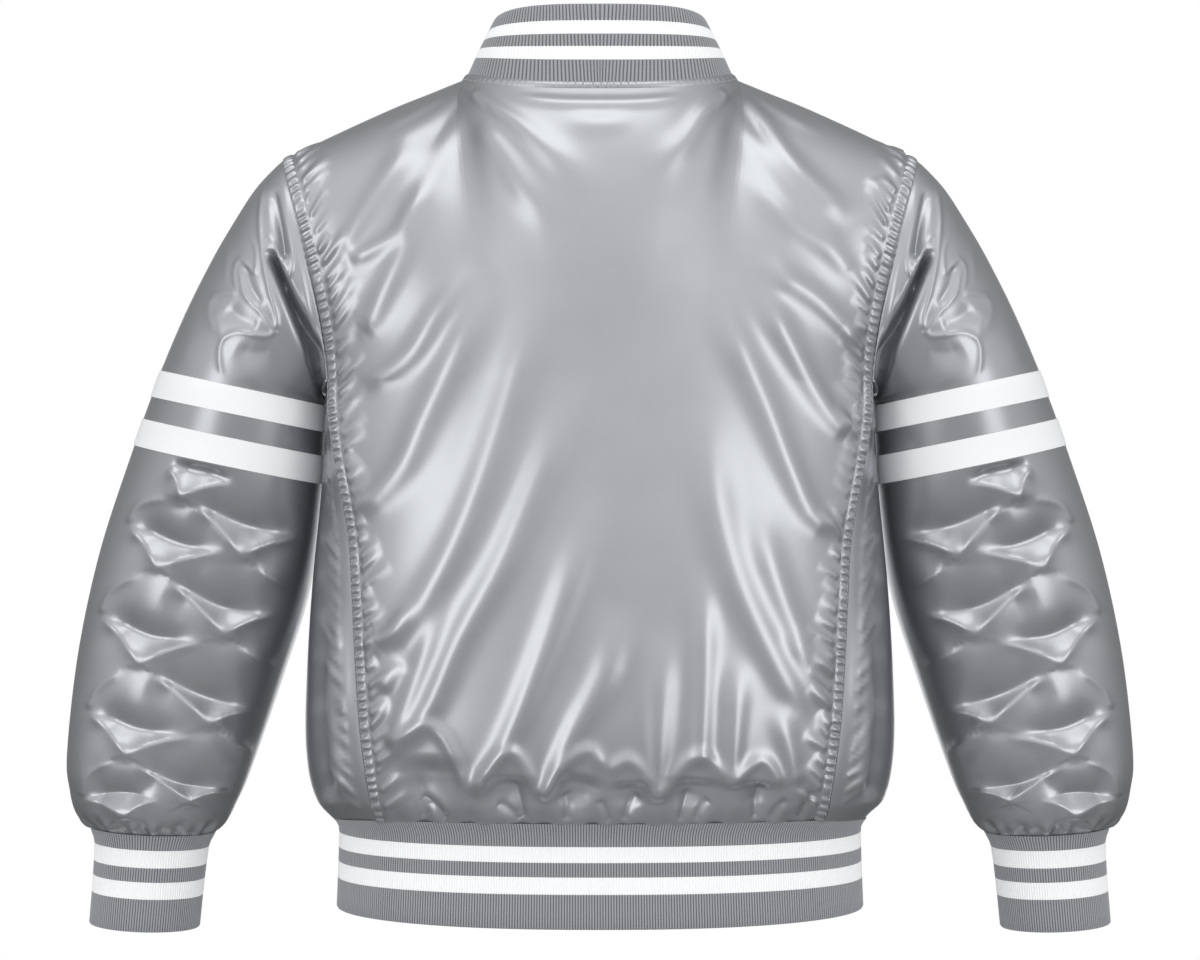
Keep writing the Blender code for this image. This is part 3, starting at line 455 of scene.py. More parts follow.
# %% Fold lines of the back
BACK_FOLDS = [
    # points (across, up), half width at start, at end, height, fade in, fade out; millimetres and shares
    ([(-107, -2), (-136, -24), (-176, -46)], 6, 10, 1.6, 0.1, 0.4),
    ([(-120, -3), (-151, -20), (-180, -34)], 3, 4.5, 0.9, 0.2, 0.4),
    ([(-142, -30), (-176, -79), (-199, -116), (-204, -138)], 10, 7.5, 2.3, 0.35, 0.15),
    ([(-130, -62), (-148, -92), (-164, -116), (-203, -139)], 10, 6, 2.8, 0.4, 0.15),
    ([(-125, -70), (-143, -101), (-172, -160), (-186, -188), (-199, -193)], 11, 8.5, 3.1, 0.4, 0.15),
    ([(-92, -132), (-127, -174), (-153, -213), (-195, -241)], 11, 8.5, 3.4, 0.4, 0.15),
    ([(-86, -138), (-104, -187), (-140, -262), (-160, -304), (-200, -346)], 14.5, 10, 4.1, 0.3, 0.12),
    ([(-40, -140), (-59, -206), (-101, -330), (-138, -404), (-169, -440), (-196, -446)], 16, 11, 4.1, 0.25, 0.12),
    ([(-11, -225), (-44, -302), (-76, -376), (-112, -440), (-140, -500), (-169, -532)], 16, 8.5, 3.8, 0.25, 0.08),
    ([(5, -314), (-19, -379), (-44, -449), (-76, -526), (-103, -568)], 17, 7.5, 4.1, 0.35, 0.06),
    ([(18, -408), (5, -465), (-20, -512), (-48, -571)], 16, 6, 4.1, 0.35, 0.06),
    ([(-122, -400), (-148, -474), (-170, -530)], 11, 6, 2.7, 0.4, 0.1),
    ([(-148, -408), (-169, -436), (-197, -446)], 7.5, 5, 1.9, 0.3, 0.2),
    ([(-156, -456), (-176, -483)], 7.5, 6, 1.9, 0.3, 0.3),
    ([(-104, -1), (-85, -14), (-61, -31), (-19, -68), (0, -90)], 5, 16, 3, 0.05, 0.45),
    ([(-98, -22), (-74, -57), (-56, -86), (-26, -114)], 7.5, 16, 2.7, 0.2, 0.45),
    ([(-80, -4), (-41, -9), (0, -10), (42, -9), (80, -4)], 4.5, 4.5, 1.5, 0.25, 0.25),
    ([(-32, -21), (0, -27), (32, -21)], 8.5, 8.5, 1.2, 0.4, 0.4),
    ([(102, -1), (84, -18), (70, -40), (37, -74)], 5, 16, 3, 0.05, 0.45),
    ([(108, -3), (129, -24), (153, -58), (203, -108)], 6, 11, 3.3, 0.1, 0.2),
    ([(119, -2), (152, -22), (184, -38)], 3, 4.5, 1, 0.2, 0.4),
    ([(108, -48), (140, -94), (184, -130), (210, -158)], 11, 7.5, 2.1, 0.4, 0.15),
    ([(128, -128), (144, -147), (175, -169), (210, -204)], 11, 7.5, 3.4, 0.35, 0.15),
    ([(90, -156), (111, -206), (132, -252), (152, -302), (172, -342), (200, -355)], 14.5, 8.5, 4.1, 0.25, 0.12),
    ([(124, -152), (153, -206), (177, -249), (196, -272), (207, -270)], 12, 7.5, 4, 0.3, 0.12),
    ([(82, -248), (92, -330), (108, -388), (132, -440), (160, -490), (174, -506)], 17, 11, 3.7, 0.3, 0.15),
    ([(120, -328), (148, -412), (171, -455), (196, -469)], 13.5, 8.5, 3.4, 0.35, 0.15),
    ([(148, -428), (171, -478), (187, -498)], 8.5, 6, 2.5, 0.3, 0.2),
    ([(82, -376), (83, -456), (80, -548)], 12, 7.5, 3.1, 0.4, 0.1),
    ([(50, -424), (47, -504), (46, -573)], 17, 6, 3.4, 0.4, 0.06),
    ([(111, -448), (108, -504), (105, -562)], 13.5, 6, 3.1, 0.4, 0.08),
    ([(140, -488), (152, -528), (157, -560)], 11, 6, 2.5, 0.4, 0.15),
    ([(102, -2), (117, -31), (144, -66), (175, -105), (206, -147)], 7, 10, 1.5, 0.3, 0.2),
    ([(96, -12), (91, -45), (78, -95)], 7, 12, 1.2, 0.3, 0.5),
    ([(-104, -6), (-120, -40), (-142, -84), (-168, -130)], 7, 11, 1.4, 0.3, 0.4),
    ([(-96, -12), (-92, -46), (-80, -98)], 7, 12, 1.2, 0.3, 0.5),
]
HEM_ARCHES = [
    # left foot, top and right foot of each gather above the hem; millimetres
    ((-172, -534), (-137, -509), (-103, -568)),
    ((-103, -568), (-72, -530), (-48, -570)),
    ((-48, -570), (-9, -529), (4, -550)),
    ((4, -550), (23, -537), (47, -572)),
    ((47, -572), (80, -533), (105, -560)),
    ((105, -560), (129, -537), (146, -562)),
]
HEM_TUCKS = [
    # small pinches at the hem seam, and four at the neck corners, as fold lines
    ([(-146, -569), (-134, -573), (-123, -583)], 3.8, 3, -2.4, 0.2, 0.02),
    ([(-150, -544), (-144, -568), (-140, -582)], 5, 3.8, -1.8, 0.4, 0.02),
    ([(-84, -572), (-75, -576), (-64, -584)], 3.8, 2.8, -2.4, 0.2, 0.02),
    ([(-70, -552), (-65, -568), (-62, -583)], 4.4, 3.1, -2.2, 0.3, 0.02),
    ([(-29, -562), (-26, -573), (-27, -584)], 5, 3.8, -2.5, 0.2, 0.02),
    ([(-1, -568), (5, -578), (7, -585)], 3.8, 2.5, -2.1, 0.2, 0.02),
    ([(32, -564), (24, -574), (20, -585)], 4.4, 3, -2.2, 0.2, 0.02),
    ([(72, -560), (68, -572), (64, -584)], 4.4, 3, -2.2, 0.2, 0.02),
    ([(88, -568), (80, -578), (77, -584)], 3.8, 2.8, -2.1, 0.2, 0.02),
    ([(132, -556), (127, -570), (124, -583)], 4.4, 3, -2.4, 0.2, 0.02),
    ([(152, -568), (143, -574), (136, -583)], 3.8, 2.8, -2.2, 0.2, 0.02),
    ([(172, -560), (165, -572), (160, -582)], 4.4, 3, -2.1, 0.2, 0.02),
    ([(-105, -1), (-124, -26), (-140, -53)], 3.8, 5, -1, 0.1, 0.4),
    ([(105, -2), (122, -26), (138, -50)], 3.8, 5, -1, 0.1, 0.4),
    ([(-99, -3), (-92, -11), (-85, -19)], 2.5, 3, -0.7, 0.1, 0.4),
    ([(98, -3), (92, -11), (85, -19)], 2.5, 3, -0.7, 0.1, 0.4),
]
HEM_SEEN = -587.0  # where the hem seam appears, in millimetres
TUCK_SHARPNESS = 1.7


def arch_folds(left, top, right):
    """A gather: a rounded lip with the cloth falling in under it towards the seam."""
    left, top, right = (np.array(point, float) for point in (left, top, right))
    up_left, up_right = left * 0.42 + top * 0.58, right * 0.42 + top * 0.58
    up_left[1] += 0.2 * (top[1] - left[1])
    up_right[1] += 0.2 * (top[1] - right[1])
    lip = [left, up_left, top, up_right, right]
    middle = np.array([(left[0] + right[0]) / 2, HEM_SEEN])
    wide = 0.30 * (right[0] - left[0])
    return [
        (lip, 6.0, 6.0, 2.4, 0.2, 0.2),
        ([top * 0.72 + middle * 0.28, middle], wide, wide * 0.8, -6.5, 0.3, 0.6),
    ]


back_lines = BACK_FOLDS + [fold for arch in HEM_ARCHES for fold in arch_folds(*arch)]
print("fold lines on the back:", len(back_lines), "and tucks:", len(HEM_TUCKS))

# %% Puckers beside a seam
SEAM_BAND = 10.5  # millimetres from the seam to its row of stitching


def leaf_lift(along, away, seed):
    """Leaf-shaped puckers. Along is the length down the seam and away the distance from it, in millimetres."""
    chance = np.random.default_rng(seed)
    lift = np.zeros(along.shape)
    place, length = 6.0, float(along.max())
    while place < length - 12.0:
        reach = chance.uniform(11.0, 30.0)
        rise = chance.uniform(0.5, 1.0) * reach
        width, height = chance.uniform(2.2, 4.2), chance.uniform(1.3, 3.1)
        near = (np.abs(along - place) < 45.0) & (away < 45.0)
        a, z = away[near] - SEAM_BAND, along[near] - place
        share = np.clip((a * reach - z * rise) / (reach**2 + rise**2), 0.0, 1.0)
        gap = np.hypot(a - share * reach, z + share * rise)
        taper = width * (0.55 + 0.9 * share)
        lift[near] += height * np.exp(-((gap / taper) ** 2)) * (1.0 - share**2) * smooth_step(share, 0.0, 0.2)
        place += chance.uniform(7.0, 15.0)
    return lift - 0.5 * np.exp(-((away / 1.5) ** 2))


print("puckers start", SEAM_BAND, "mm from the seam")

# %% The back's grid
EDGE_SHARE = 0.895  # where the finer columns beside the seam start
half_shares = np.concatenate([np.linspace(0.0, EDGE_SHARE, 121)[:-1], np.linspace(EDGE_SHARE, 1.0, 31)])
back_levels = np.concatenate([
    np.linspace(0.0, 0.13, 31)[:-1],
    np.linspace(0.13, 1.0, 135)[:-1],
    np.linspace(1.0, 2.0, 131),
])
half = body_grid("back", half_shares, back_levels)
back_form = np.concatenate([mirrored(half[:, :0:-1]), half], axis=1)
back_out = grid_normals(back_form)
across, up = as_seen(back_form)
steps = np.linalg.norm(np.diff(half, axis=1), axis=2) / MM
from_seam = np.concatenate([np.cumsum(steps[:, ::-1], axis=1)[:, ::-1], np.zeros((len(half), 1))], axis=1)
down_seam = (lengths_along(half[::-1, -1])[::-1] / MM)[:, None] * np.ones(half.shape[1])
hem_length = lengths_along(half[:, 0])[:, None] / MM
top_length = hem_length[-1] - hem_length
print("back grid:", back_form.shape[:2])

# %% Lift the folds and make the back
CLOTH_WALL = 2.6  # millimetres, with what is folded in
folds = line_lift(across, up, back_lines)
calm = smooth_step(hem_length, 0.0, 12.0) * smooth_step(top_length, 0.0, 9.0)
edge_calm = smooth_step(from_seam, 1.0, 16.0)
edge_calm = np.concatenate([edge_calm[:, :0:-1], edge_calm], axis=1)
right_seam, left_seam = leaf_lift(down_seam, from_seam, 3), leaf_lift(down_seam, from_seam, 5)
puckers = np.concatenate([left_seam[:, :0:-1], right_seam], axis=1)
folds = folds * calm * edge_calm
pucker_calm = smooth_step(hem_length, 0.0, 6.0) * smooth_step(top_length, 0.0, 5.0)
lift = folds + line_lift(across, up, HEM_TUCKS, TUCK_SHARPNESS) + puckers * pucker_calm
wave = 0.8 * np.sin(across / 7.3 + 1.5 * np.sin(across / 19.0)) + 0.5 * np.sin(across / 3.1)
lift += wave * (1.0 - smooth_step(hem_length, 2.0, 26.0))
back_outer = back_form + back_out * (lift * MM)[..., None]
back_inner = back_form + back_out * ((folds - CLOTH_WALL) * MM)[..., None]
back = cloth_shell("back_satin", back_outer, thinned(back_inner))
print("highest fold:", round(float(lift.max()), 1), "mm, deepest:", round(float(lift.min()), 1), "mm")

# %% [markdown]
# ## The crimped seam bands
# The armhole and the side seam are stitched twice, about 10 mm apart, and the thread draws the satin between the
# rows into a ladder of small crimps. They are finer than the back's own points, so the band is a strip of its own
# on top of it.

# %% Crimped bands
BAND_STEPS = np.array([0.0, 1.1, 2.4, 4.0, 5.6, 7.2, 8.5, 9.6, 10.7, 11.9])
CRIMP_PITCH, CRIMP_HEIGHT = 7.0, 1.35
STRIP_WALL, STRIP_SUNK = 0.9, -0.8


def seam_strip(surface, outward, seed):
    """Fine rows of points along a seam, crimped between its two rows of stitching."""
    edge = np.array([[np.interp(BAND_STEPS, from_seam[row, ::-1], surface[row, ::-1, k]) for k in range(3)]
                     for row in range(len(surface))]).transpose(0, 2, 1)
    places = lengths_along(edge[::-1, 4]) / MM
    count = int(places[-1] / 0.85) // 3 * 3 + 1
    along = np.linspace(0.0, places[-1], count)
    fine = read_between(places, edge[::-1].reshape(len(places), -1), along).reshape(count, -1, 3)
    normals = np.stack([np.interp(along, places, outward[::-1, -6, k]) for k in range(3)], axis=1)
    beat = along + 1.3 * np.sin(along / 11.0 + seed) + 0.8 * np.sin(along / 4.7 + 2 * seed)
    slant = beat[:, None] + 0.25 * BAND_STEPS[None]
    crimp = np.sin(2 * math.pi * slant / CRIMP_PITCH)
    strong = (0.65 + 0.35 * np.sin(along / 17.0 + seed) * np.sin(along / 7.0)) * smooth_step(along, 2.0, 18.0)
    across = np.sin(math.pi * np.clip(BAND_STEPS / SEAM_BAND, 0.0, 1.0))[None] ** 0.7
    lift = 0.35 + (CRIMP_HEIGHT * strong[:, None] * np.sign(crimp) * np.abs(crimp) ** 0.8 + 0.45) * across
    lift -= 1.1 * np.exp(-(((BAND_STEPS - SEAM_BAND) / 0.8) ** 2))[None]
    lift -= 1.5 * (1.0 - smooth_step(along, 0.0, 6.0))[:, None]
    lift[:, 0], lift[:, -1] = STRIP_SUNK, STRIP_SUNK
    return fine + normals[:, None] * (lift * MM)[..., None], normals


right_half, left_half = back_outer[:, half.shape[1] - 1 :], mirrored(back_outer[:, half.shape[1] - 1 :: -1])
strips = {}
for side, surface, seed in (("right", right_half, 4), ("left", left_half, 9)):
    grid, normals = seam_strip(surface, back_out[:, half.shape[1] - 1 :], seed)
    under = thinned(grid - normals[:, None] * STRIP_WALL * MM)
    grid, under, normals = (SIDES[side](points) for points in (grid, under, normals))
    strips[side] = (cloth_shell("seam_band_" + side, grid, under), grid, normals)

# %% [markdown]
# ## The fronts
# Nothing shows how the front looks, so it has only what such a jacket must have: two fronts that overlap at
# the middle, folds of the same kind as on the back, and a row of snaps. The left front lies over the right one.

# %% Fold lines of a front
FRONT_FOLDS = [
    # points (from the middle, height), half width at start, at end, height, fade in, fade out
    ([(100, -12), (128, -70), (170, -150)], 6, 9, 4.0, 0.1, 0.3),
    ([(96, -30), (110, -100), (150, -190)], 6, 11, 4.0, 0.1, 0.4),
    ([(60, -120), (105, -190), (165, -255)], 12, 8, 5.0, 0.35, 0.15),
    ([(48, -170), (90, -270), (165, -350)], 13, 9, 5.2, 0.3, 0.15),
    ([(52, -270), (95, -380), (165, -455)], 14, 8, 5.2, 0.3, 0.15),
    ([(50, -370), (80, -470), (120, -555)], 14, 6, 5.0, 0.3, 0.08),
    ([(130, -420), (150, -490), (158, -555)], 11, 6, 4.4, 0.35, 0.1),
    ([(38, -470), (48, -520), (60, -562)], 9, 5, 3.6, 0.35, 0.1),
    ([(175, -330), (190, -430), (192, -520)], 9, 8, 3.2, 0.35, 0.3),
    ([(200, -400), (207, -480), (200, -560)], 7, 6, 2.6, 0.35, 0.1),
    ([(72, -572), (74, -560), (82, -545)], 3, 4, -3.0, 0.05, 0.4),
    ([(108, -572), (104, -560), (96, -548)], 3, 4, -3.0, 0.05, 0.4),
    ([(140, -572), (141, -560), (136, -546)], 3, 4, -2.8, 0.05, 0.4),
    ([(176, -576), (175, -562), (180, -548)], 3, 4, -2.8, 0.05, 0.4),
]
FRONT_OVERLAP, OVERLAP_LIFT = 0.0145, 2.6
print("fold lines on a front:", len(FRONT_FOLDS))

# %% Ease the bend at the underarm
BEND_ROWS = 9  # rows on each side that are averaged


def smooth_rows(grid, weights, reach=BEND_ROWS):
    """Each row drawn towards the mean of the rows near it, by the weight of each point."""
    padded = np.concatenate([np.repeat(grid[:1], reach, axis=0), grid, np.repeat(grid[-1:], reach, axis=0)])
    window = np.hanning(2 * reach + 3)[1:-1]
    mean = sum(part * padded[k : k + len(grid)] for k, part in enumerate(window / window.sum()))
    return grid + (mean - grid) * weights[..., None]


front_levels = np.concatenate([
    np.linspace(0.0, 0.13, 25)[:-1],
    np.linspace(0.13, 1.0, 91)[:-1],
    np.linspace(1.0, 2.0, 97),
])
print("rows of a front:", len(front_levels))

# %% Make both fronts


def make_front(side, upper, seed):
    """One front. The upper one lies over the other at the middle."""
    shares = np.concatenate([np.linspace(0.0, EDGE_SHARE, 100)[:-1], np.linspace(EDGE_SHARE, 1.0, 22)])
    grid = body_grid("front", shares, front_levels)
    near_underarm = smooth_step(front_levels, 0.70, 0.90) * (1.0 - smooth_step(front_levels, 1.10, 1.30))
    off_seam = 1.0 - smooth_step(shares, 0.92, 1.0)
    grid = smooth_rows(grid, near_underarm[:, None] * off_seam)
    past = mirrored(grid[:, 1:13])
    grown = np.linspace(FRONT_OVERLAP, 0.0, 7)[:-1]
    edge = np.stack([
        np.stack([np.interp(grown, np.concatenate([[0.0], -row[:, 0]]), np.concatenate([[mid[k]], row[:, k]]))
                  for k in range(3)], axis=1)
        for row, mid in zip(past, grid[:, 0])
    ])
    edge[..., 0] = -grown
    grid = np.concatenate([edge, grid], axis=1)
    outward = -grid_normals(grid)
    steps = np.linalg.norm(np.diff(grid, axis=1), axis=2) / MM
    from_side = np.concatenate([np.cumsum(steps[:, ::-1], axis=1)[:, ::-1], np.zeros((len(grid), 1))], axis=1)
    down = (lengths_along(grid[::-1, -1])[::-1] / MM)[:, None] * np.ones(grid.shape[1])
    above_hem = lengths_along(grid[:, 8])[:, None] / MM
    below_top = above_hem[-1] - above_hem
    x, z = grid[..., 0] / MM, grid[..., 2] / MM
    folds = line_lift(x, z, FRONT_FOLDS) * smooth_step(x, 22.0, 46.0)
    folds *= smooth_step(above_hem, 0.0, 14.0) * smooth_step(below_top, 0.0, 9.0) * smooth_step(from_side, 1.0, 16.0)
    puckers = 0.6 * leaf_lift(down, from_side, seed)
    puckers *= smooth_step(above_hem, 0.0, 6.0) * smooth_step(below_top, 0.0, 5.0)
    wave = 0.8 * np.sin(x / 7.3 + seed + 1.5 * np.sin(x / 19.0)) * (1.0 - smooth_step(above_hem, 2.0, 26.0))
    over = OVERLAP_LIFT * (1.0 - smooth_step(x, 30.0, 80.0)) if upper else 0.0 * x
    placket = -0.45 * np.exp(-(((x - 16.0) / 1.0) ** 2)) * smooth_step(above_hem, 0.0, 8.0)
    lift = folds + puckers + wave * smooth_step(x, 22.0, 46.0) + over + placket
    outer = grid + outward * (lift * MM)[..., None]
    wall = 1.3 + 1.2 * smooth_step(x, 30.0, 60.0)  # thinner where the fronts overlap
    inner = grid + outward * ((folds + over - wall) * MM)[..., None]
    return cloth_shell("front_satin_" + side, SIDES[side](outer), SIDES[side](thinned(inner)))


front_right = make_front("right", False, 8)
front_left = make_front("left", True, 11)

# %% [markdown]
# ## The sleeves
# A sleeve is a tube of rings. Its first ring is the armhole seam itself, and its last one is gathered into the
# cuff. A slack tube of thin cloth that is pushed together buckles into rows of diamonds, set like bricks. In each
# diamond the upper half tips down and looks dark, and the lower half tips up and shines like a pair of wings.
# The rims between them are sharp lips. Every wing is placed by its corners.

# %% Sizes of the sleeve
SLEEVE_SECTIONS = np.array([
    # outer_x, outer_z, inner_x, inner_z, centre_y, half_depth
    (0.2530, -0.0570, 0.2129, -0.2360, 0.000, 0.0540),
    (0.2735, -0.0780, 0.2160, -0.2412, 0.003, 0.0610),
    (0.2910, -0.1032, 0.2170, -0.2450, 0.006, 0.0670),
    (0.3105, -0.1350, 0.2176, -0.2482, 0.010, 0.0710),
    (0.3325, -0.1770, 0.2180, -0.2512, 0.015, 0.0740),
    (0.3535, -0.2242, 0.2184, -0.2530, 0.020, 0.0760),
    (0.3616, -0.2448, 0.2196, -0.2740, 0.023, 0.0760),
    (0.3686, -0.2623, 0.2210, -0.2931, 0.026, 0.0760),
    (0.3764, -0.2835, 0.2235, -0.3155, 0.029, 0.0755),
    (0.4055, -0.3671, 0.2352, -0.3976, 0.038, 0.0730),
    (0.4245, -0.4507, 0.2581, -0.4711, 0.042, 0.0700),
    (0.4335, -0.5322, 0.2850, -0.5485, 0.041, 0.0660),
    (0.4313, -0.5627, 0.2955, -0.5729, 0.040, 0.0620),
    (0.4260, -0.5825, 0.3037, -0.5886, 0.040, 0.0550),
    (0.4148, -0.5932, 0.3134, -0.5983, 0.040, 0.0440),
])
LAST_SECTION = len(SLEEVE_SECTIONS) - 1
print("sections of a sleeve:", len(SLEEVE_SECTIONS))


def armhole(turn):
    """The armhole seam: turn 0 is the shoulder tip, pi the underarm, minus on the front."""
    points = {}
    for side in ("back", "front"):
        one = np.array([1.0])
        rise, arrive = upper_slopes(side, one)
        share = (1.0 - np.abs(turn) / math.pi)[:, None]
        points[side] = hermite(section_row(side, one, UNDERARM_Z), top_row(side, one), rise, arrive, share)
    return np.where((turn >= 0)[:, None], points["back"], points["front"])


def sleeve_rings(sections, turns):
    sizes = read_between(np.arange(LAST_SECTION + 1), SLEEVE_SECTIONS, sections)
    outer_x, outer_z, inner_x, inner_z, centre_y, half_depth = (column[:, None] for column in sizes.T)
    reach = np.cos(turns)[None]
    x = (outer_x + inner_x) / 2 + reach * (outer_x - inner_x) / 2
    z = (outer_z + inner_z) / 2 + reach * (outer_z - inner_z) / 2
    return np.stack([x, centre_y - half_depth * np.sin(turns)[None], z], axis=-1)


def sleeve_grid(sections, turns):
    near_armhole = (1.0 - smooth_step(sections, 0.0, 3.5))[:, None, None]
    return sleeve_rings(sections, turns) + near_armhole * (armhole(turns) - sleeve_rings(np.zeros(1), turns))


# %% Fold lines of the upper sleeve
SLEEVE_FOLDS = [
    # points (across, up) on the left sleeve, half width at start, at end, height, fade in, fade out
    ([(-269, -74), (-272, -104), (-270, -130), (-264, -162), (-258, -183), (-260, -193)], 2.1, 2.2, 1.3, 0.12, 0.04),
    ([(-260, -193), (-269, -181), (-284, -164), (-288, -148), (-291, -134)], 1.9, 1.9, 0.8, 0.05, 0.3),
    ([(-257, -191), (-266, -197), (-290, -194), (-300, -198), (-304, -205), (-304, -220), (-300, -235)],
     1.9, 2.4, 1.1, 0.05, 0.25),
    ([(-289, -162), (-306, -164), (-312, -170), (-312, -182), (-306, -198)], 2.4, 5, 0.9, 0.1, 0.25),
    ([(-308, -172), (-304, -188), (-302, -204)], 5.5, 4, 0.8, 0.3, 0.3),
    ([(-267, -73), (-255, -70), (-251, -94), (-246, -124), (-246, -142), (-250, -150), (-254, -144), (-260, -125),
      (-266, -117), (-270, -122)], 1.8, 1.7, 1, 0.05, 0.1),
    ([(-283, -114), (-276, -124), (-275, -139), (-277, -146), (-287, -135), (-292, -141), (-292, -154), (-289, -162)],
     1.7, 1.7, 0.7, 0.2, 0.1),
    ([(-252, -61), (-244, -118), (-238, -148), (-229, -198), (-223, -223)], 2.9, 2.7, 1.1, 0.15, 0.2),
    ([(-296, -116), (-299, -144), (-300, -160)], 4, 4, 0.6, 0.4, 0.4),
    ([(-324, -192), (-331, -210), (-336, -224)], 8, 7, 0.6, 0.4, 0.3),
    ([(-280, -216), (-275, -236), (-270, -252)], 9, 9, 0.7, 0.4, 0.3),
    ([(-261, -78), (-256, -108), (-252, -138)], 4, 4, -6.5, 0.15, 0.15),
    ([(-266, -126), (-254, -153), (-241, -182), (-229, -210), (-216, -258)], 3.2, 4.2, -15, 0.1, 0.35),
    ([(-284, -138), (-280, -156), (-270, -174)], 4, 4, -1.6, 0.2, 0.2),
    ([(-299, -172), (-288, -182), (-273, -189)], 7, 6, -1.6, 0.2, 0.2),
    ([(-291, -204), (-280, -210), (-260, -208)], 9, 9, -1.4, 0.3, 0.3),
]
print("fold lines on the upper sleeve:", len(SLEEVE_FOLDS))

# %% Buckles of the lower sleeve
SLEEVE_WINGS = [
    # left tip, middle and right tip of a wing's top edge, then the knot at its foot; millimetres on the left sleeve
    ((-344, -299), (-317, -303), (-292, -316), (-335, -326)),
    ((-328, -330), (-280, -350), (-235, -358), (-288, -373)),
    ((-378, -347), (-333, -366), (-294, -369), (-355, -382)),
    ((-348, -392), (-301, -415), (-257, -420), (-301, -436)),
    ((-400, -420), (-360, -438), (-313, -442), (-369, -459)),
    ((-362, -466), (-317, -486), (-270, -498), (-312, -507)),
    ((-410, -496), (-372, -512), (-322, -518), (-380, -532)),
    ((-373, -541), (-333, -557), (-288, -560), (-328, -570)),
    ((-415, -566), (-385, -564), (-351, -569), (-380, -581)),
]
SLEEVE_LIPS = [
    # single creases at the sleeve's edges, as fold lines
    ([(-280, -378), (-267, -389), (-246, -400)], 5, 6, 2.6, 0.45, 0.5),
    ([(-292, -446), (-276, -454), (-256, -462)], 5, 6, 2.6, 0.45, 0.5),
    ([(-305, -514), (-289, -523), (-270, -534)], 5, 6, 2.6, 0.45, 0.5),
    ([(-378, -347), (-368, -332), (-344, -326)], 3, 3, 1.5, 0.1, 0.3),
    ([(-400, -420), (-390, -400), (-364, -386)], 3, 3, 1.5, 0.1, 0.3),
    ([(-410, -496), (-402, -480), (-380, -462)], 3, 3, 1.5, 0.1, 0.3),
    ([(-415, -566), (-409, -548), (-389, -536)], 3, 3, 1.5, 0.1, 0.3),
]


def wing_folds(left, middle, right, knot):
    """A buckle: a valley along its top edge and two crests that meet at its knot, with a bright wing between."""
    left, middle, right, knot = (np.array(point, float) for point in (left, middle, right, knot))
    in_left = left * 0.42 + knot * 0.58 + (middle - knot) * 0.10
    in_right = right * 0.45 + knot * 0.55 + (middle - knot) * 0.20
    foot = knot + np.array([0.0, -9.0])
    return [
        ([left, middle, right], 14.0, 12.0, -9.2, 0.24, 0.42),
        ([left, in_left, knot, foot], 5.0, 9.0, 4.6, 0.24, 0.4),
        ([right, in_right, knot, foot], 4.5, 9.0, 4.6, 0.42, 0.4),
    ]


wing_lines = SLEEVE_LIPS + [fold for wing in SLEEVE_WINGS for fold in wing_folds(*wing)]
print("crease lines on the lower sleeve:", len(wing_lines))

# %% The sleeve's grid
sleeve_sections = np.concatenate([
    np.linspace(0.0, 5.0, 112)[:-1],
    np.linspace(5.0, 6.0, 10)[:-1],
    np.linspace(6.0, 7.0, 10)[:-1],
    np.linspace(7.0, 8.0, 10)[:-1],
    np.linspace(8.0, 12.0, 171)[:-1],
    np.linspace(12.0, LAST_SECTION, 44),
])
sleeve_turns = np.concatenate([np.linspace(0.0, math.pi, 190)[:-1], np.linspace(-math.pi, 0.0, 61)[:-1]])
sleeve_form = sleeve_grid(sleeve_sections, sleeve_turns)
sleeve_out = grid_normals(sleeve_form, closed=True)
print("sleeve grid:", sleeve_form.shape[:2])

# %% Lift the sleeve's folds
FRONT_SHIFT = (4.0, 6.0)  # millimetres that the front's folds lie further in and higher
BUCKLE_SHARPNESS = 1.3
behind = smooth_step(np.sin(sleeve_turns), 0.02, 0.30)[None]
before = smooth_step(-np.sin(sleeve_turns), 0.02, 0.30)[None]
across, up = as_seen(sleeve_form)
front_across, front_up = -sleeve_form[..., 0] / MM - FRONT_SHIFT[0], sleeve_form[..., 2] / MM - FRONT_SHIFT[1]
crisp = line_lift(-across, up, SLEEVE_FOLDS, sharpness=1.6) * behind
crisp += 0.75 * line_lift(front_across, front_up, SLEEVE_FOLDS, sharpness=1.8) * before
upper = smooth_step(sleeve_sections, 0.15, 0.9) * (1.0 - smooth_step(sleeve_sections, 4.6, 5.0))
seam_groove = -0.6 * np.exp(-((sleeve_sections / 0.10) ** 2))
lower = smooth_step(sleeve_sections, 8.0, 8.2) * (1.0 - smooth_step(sleeve_sections, 12.9, 13.6))
inside_outline = smooth_step(np.abs(np.sin(sleeve_turns)), 0.12, 0.50)[None]
buckles = line_lift(-across, up, wing_lines, BUCKLE_SHARPNESS) * behind
buckles += line_lift(front_across, front_up, wing_lines, BUCKLE_SHARPNESS) * before
buckles *= lower[:, None] * inside_outline
print("buckles from", round(float(buckles.min()), 1), "to", round(float(buckles.max()), 1), "mm")

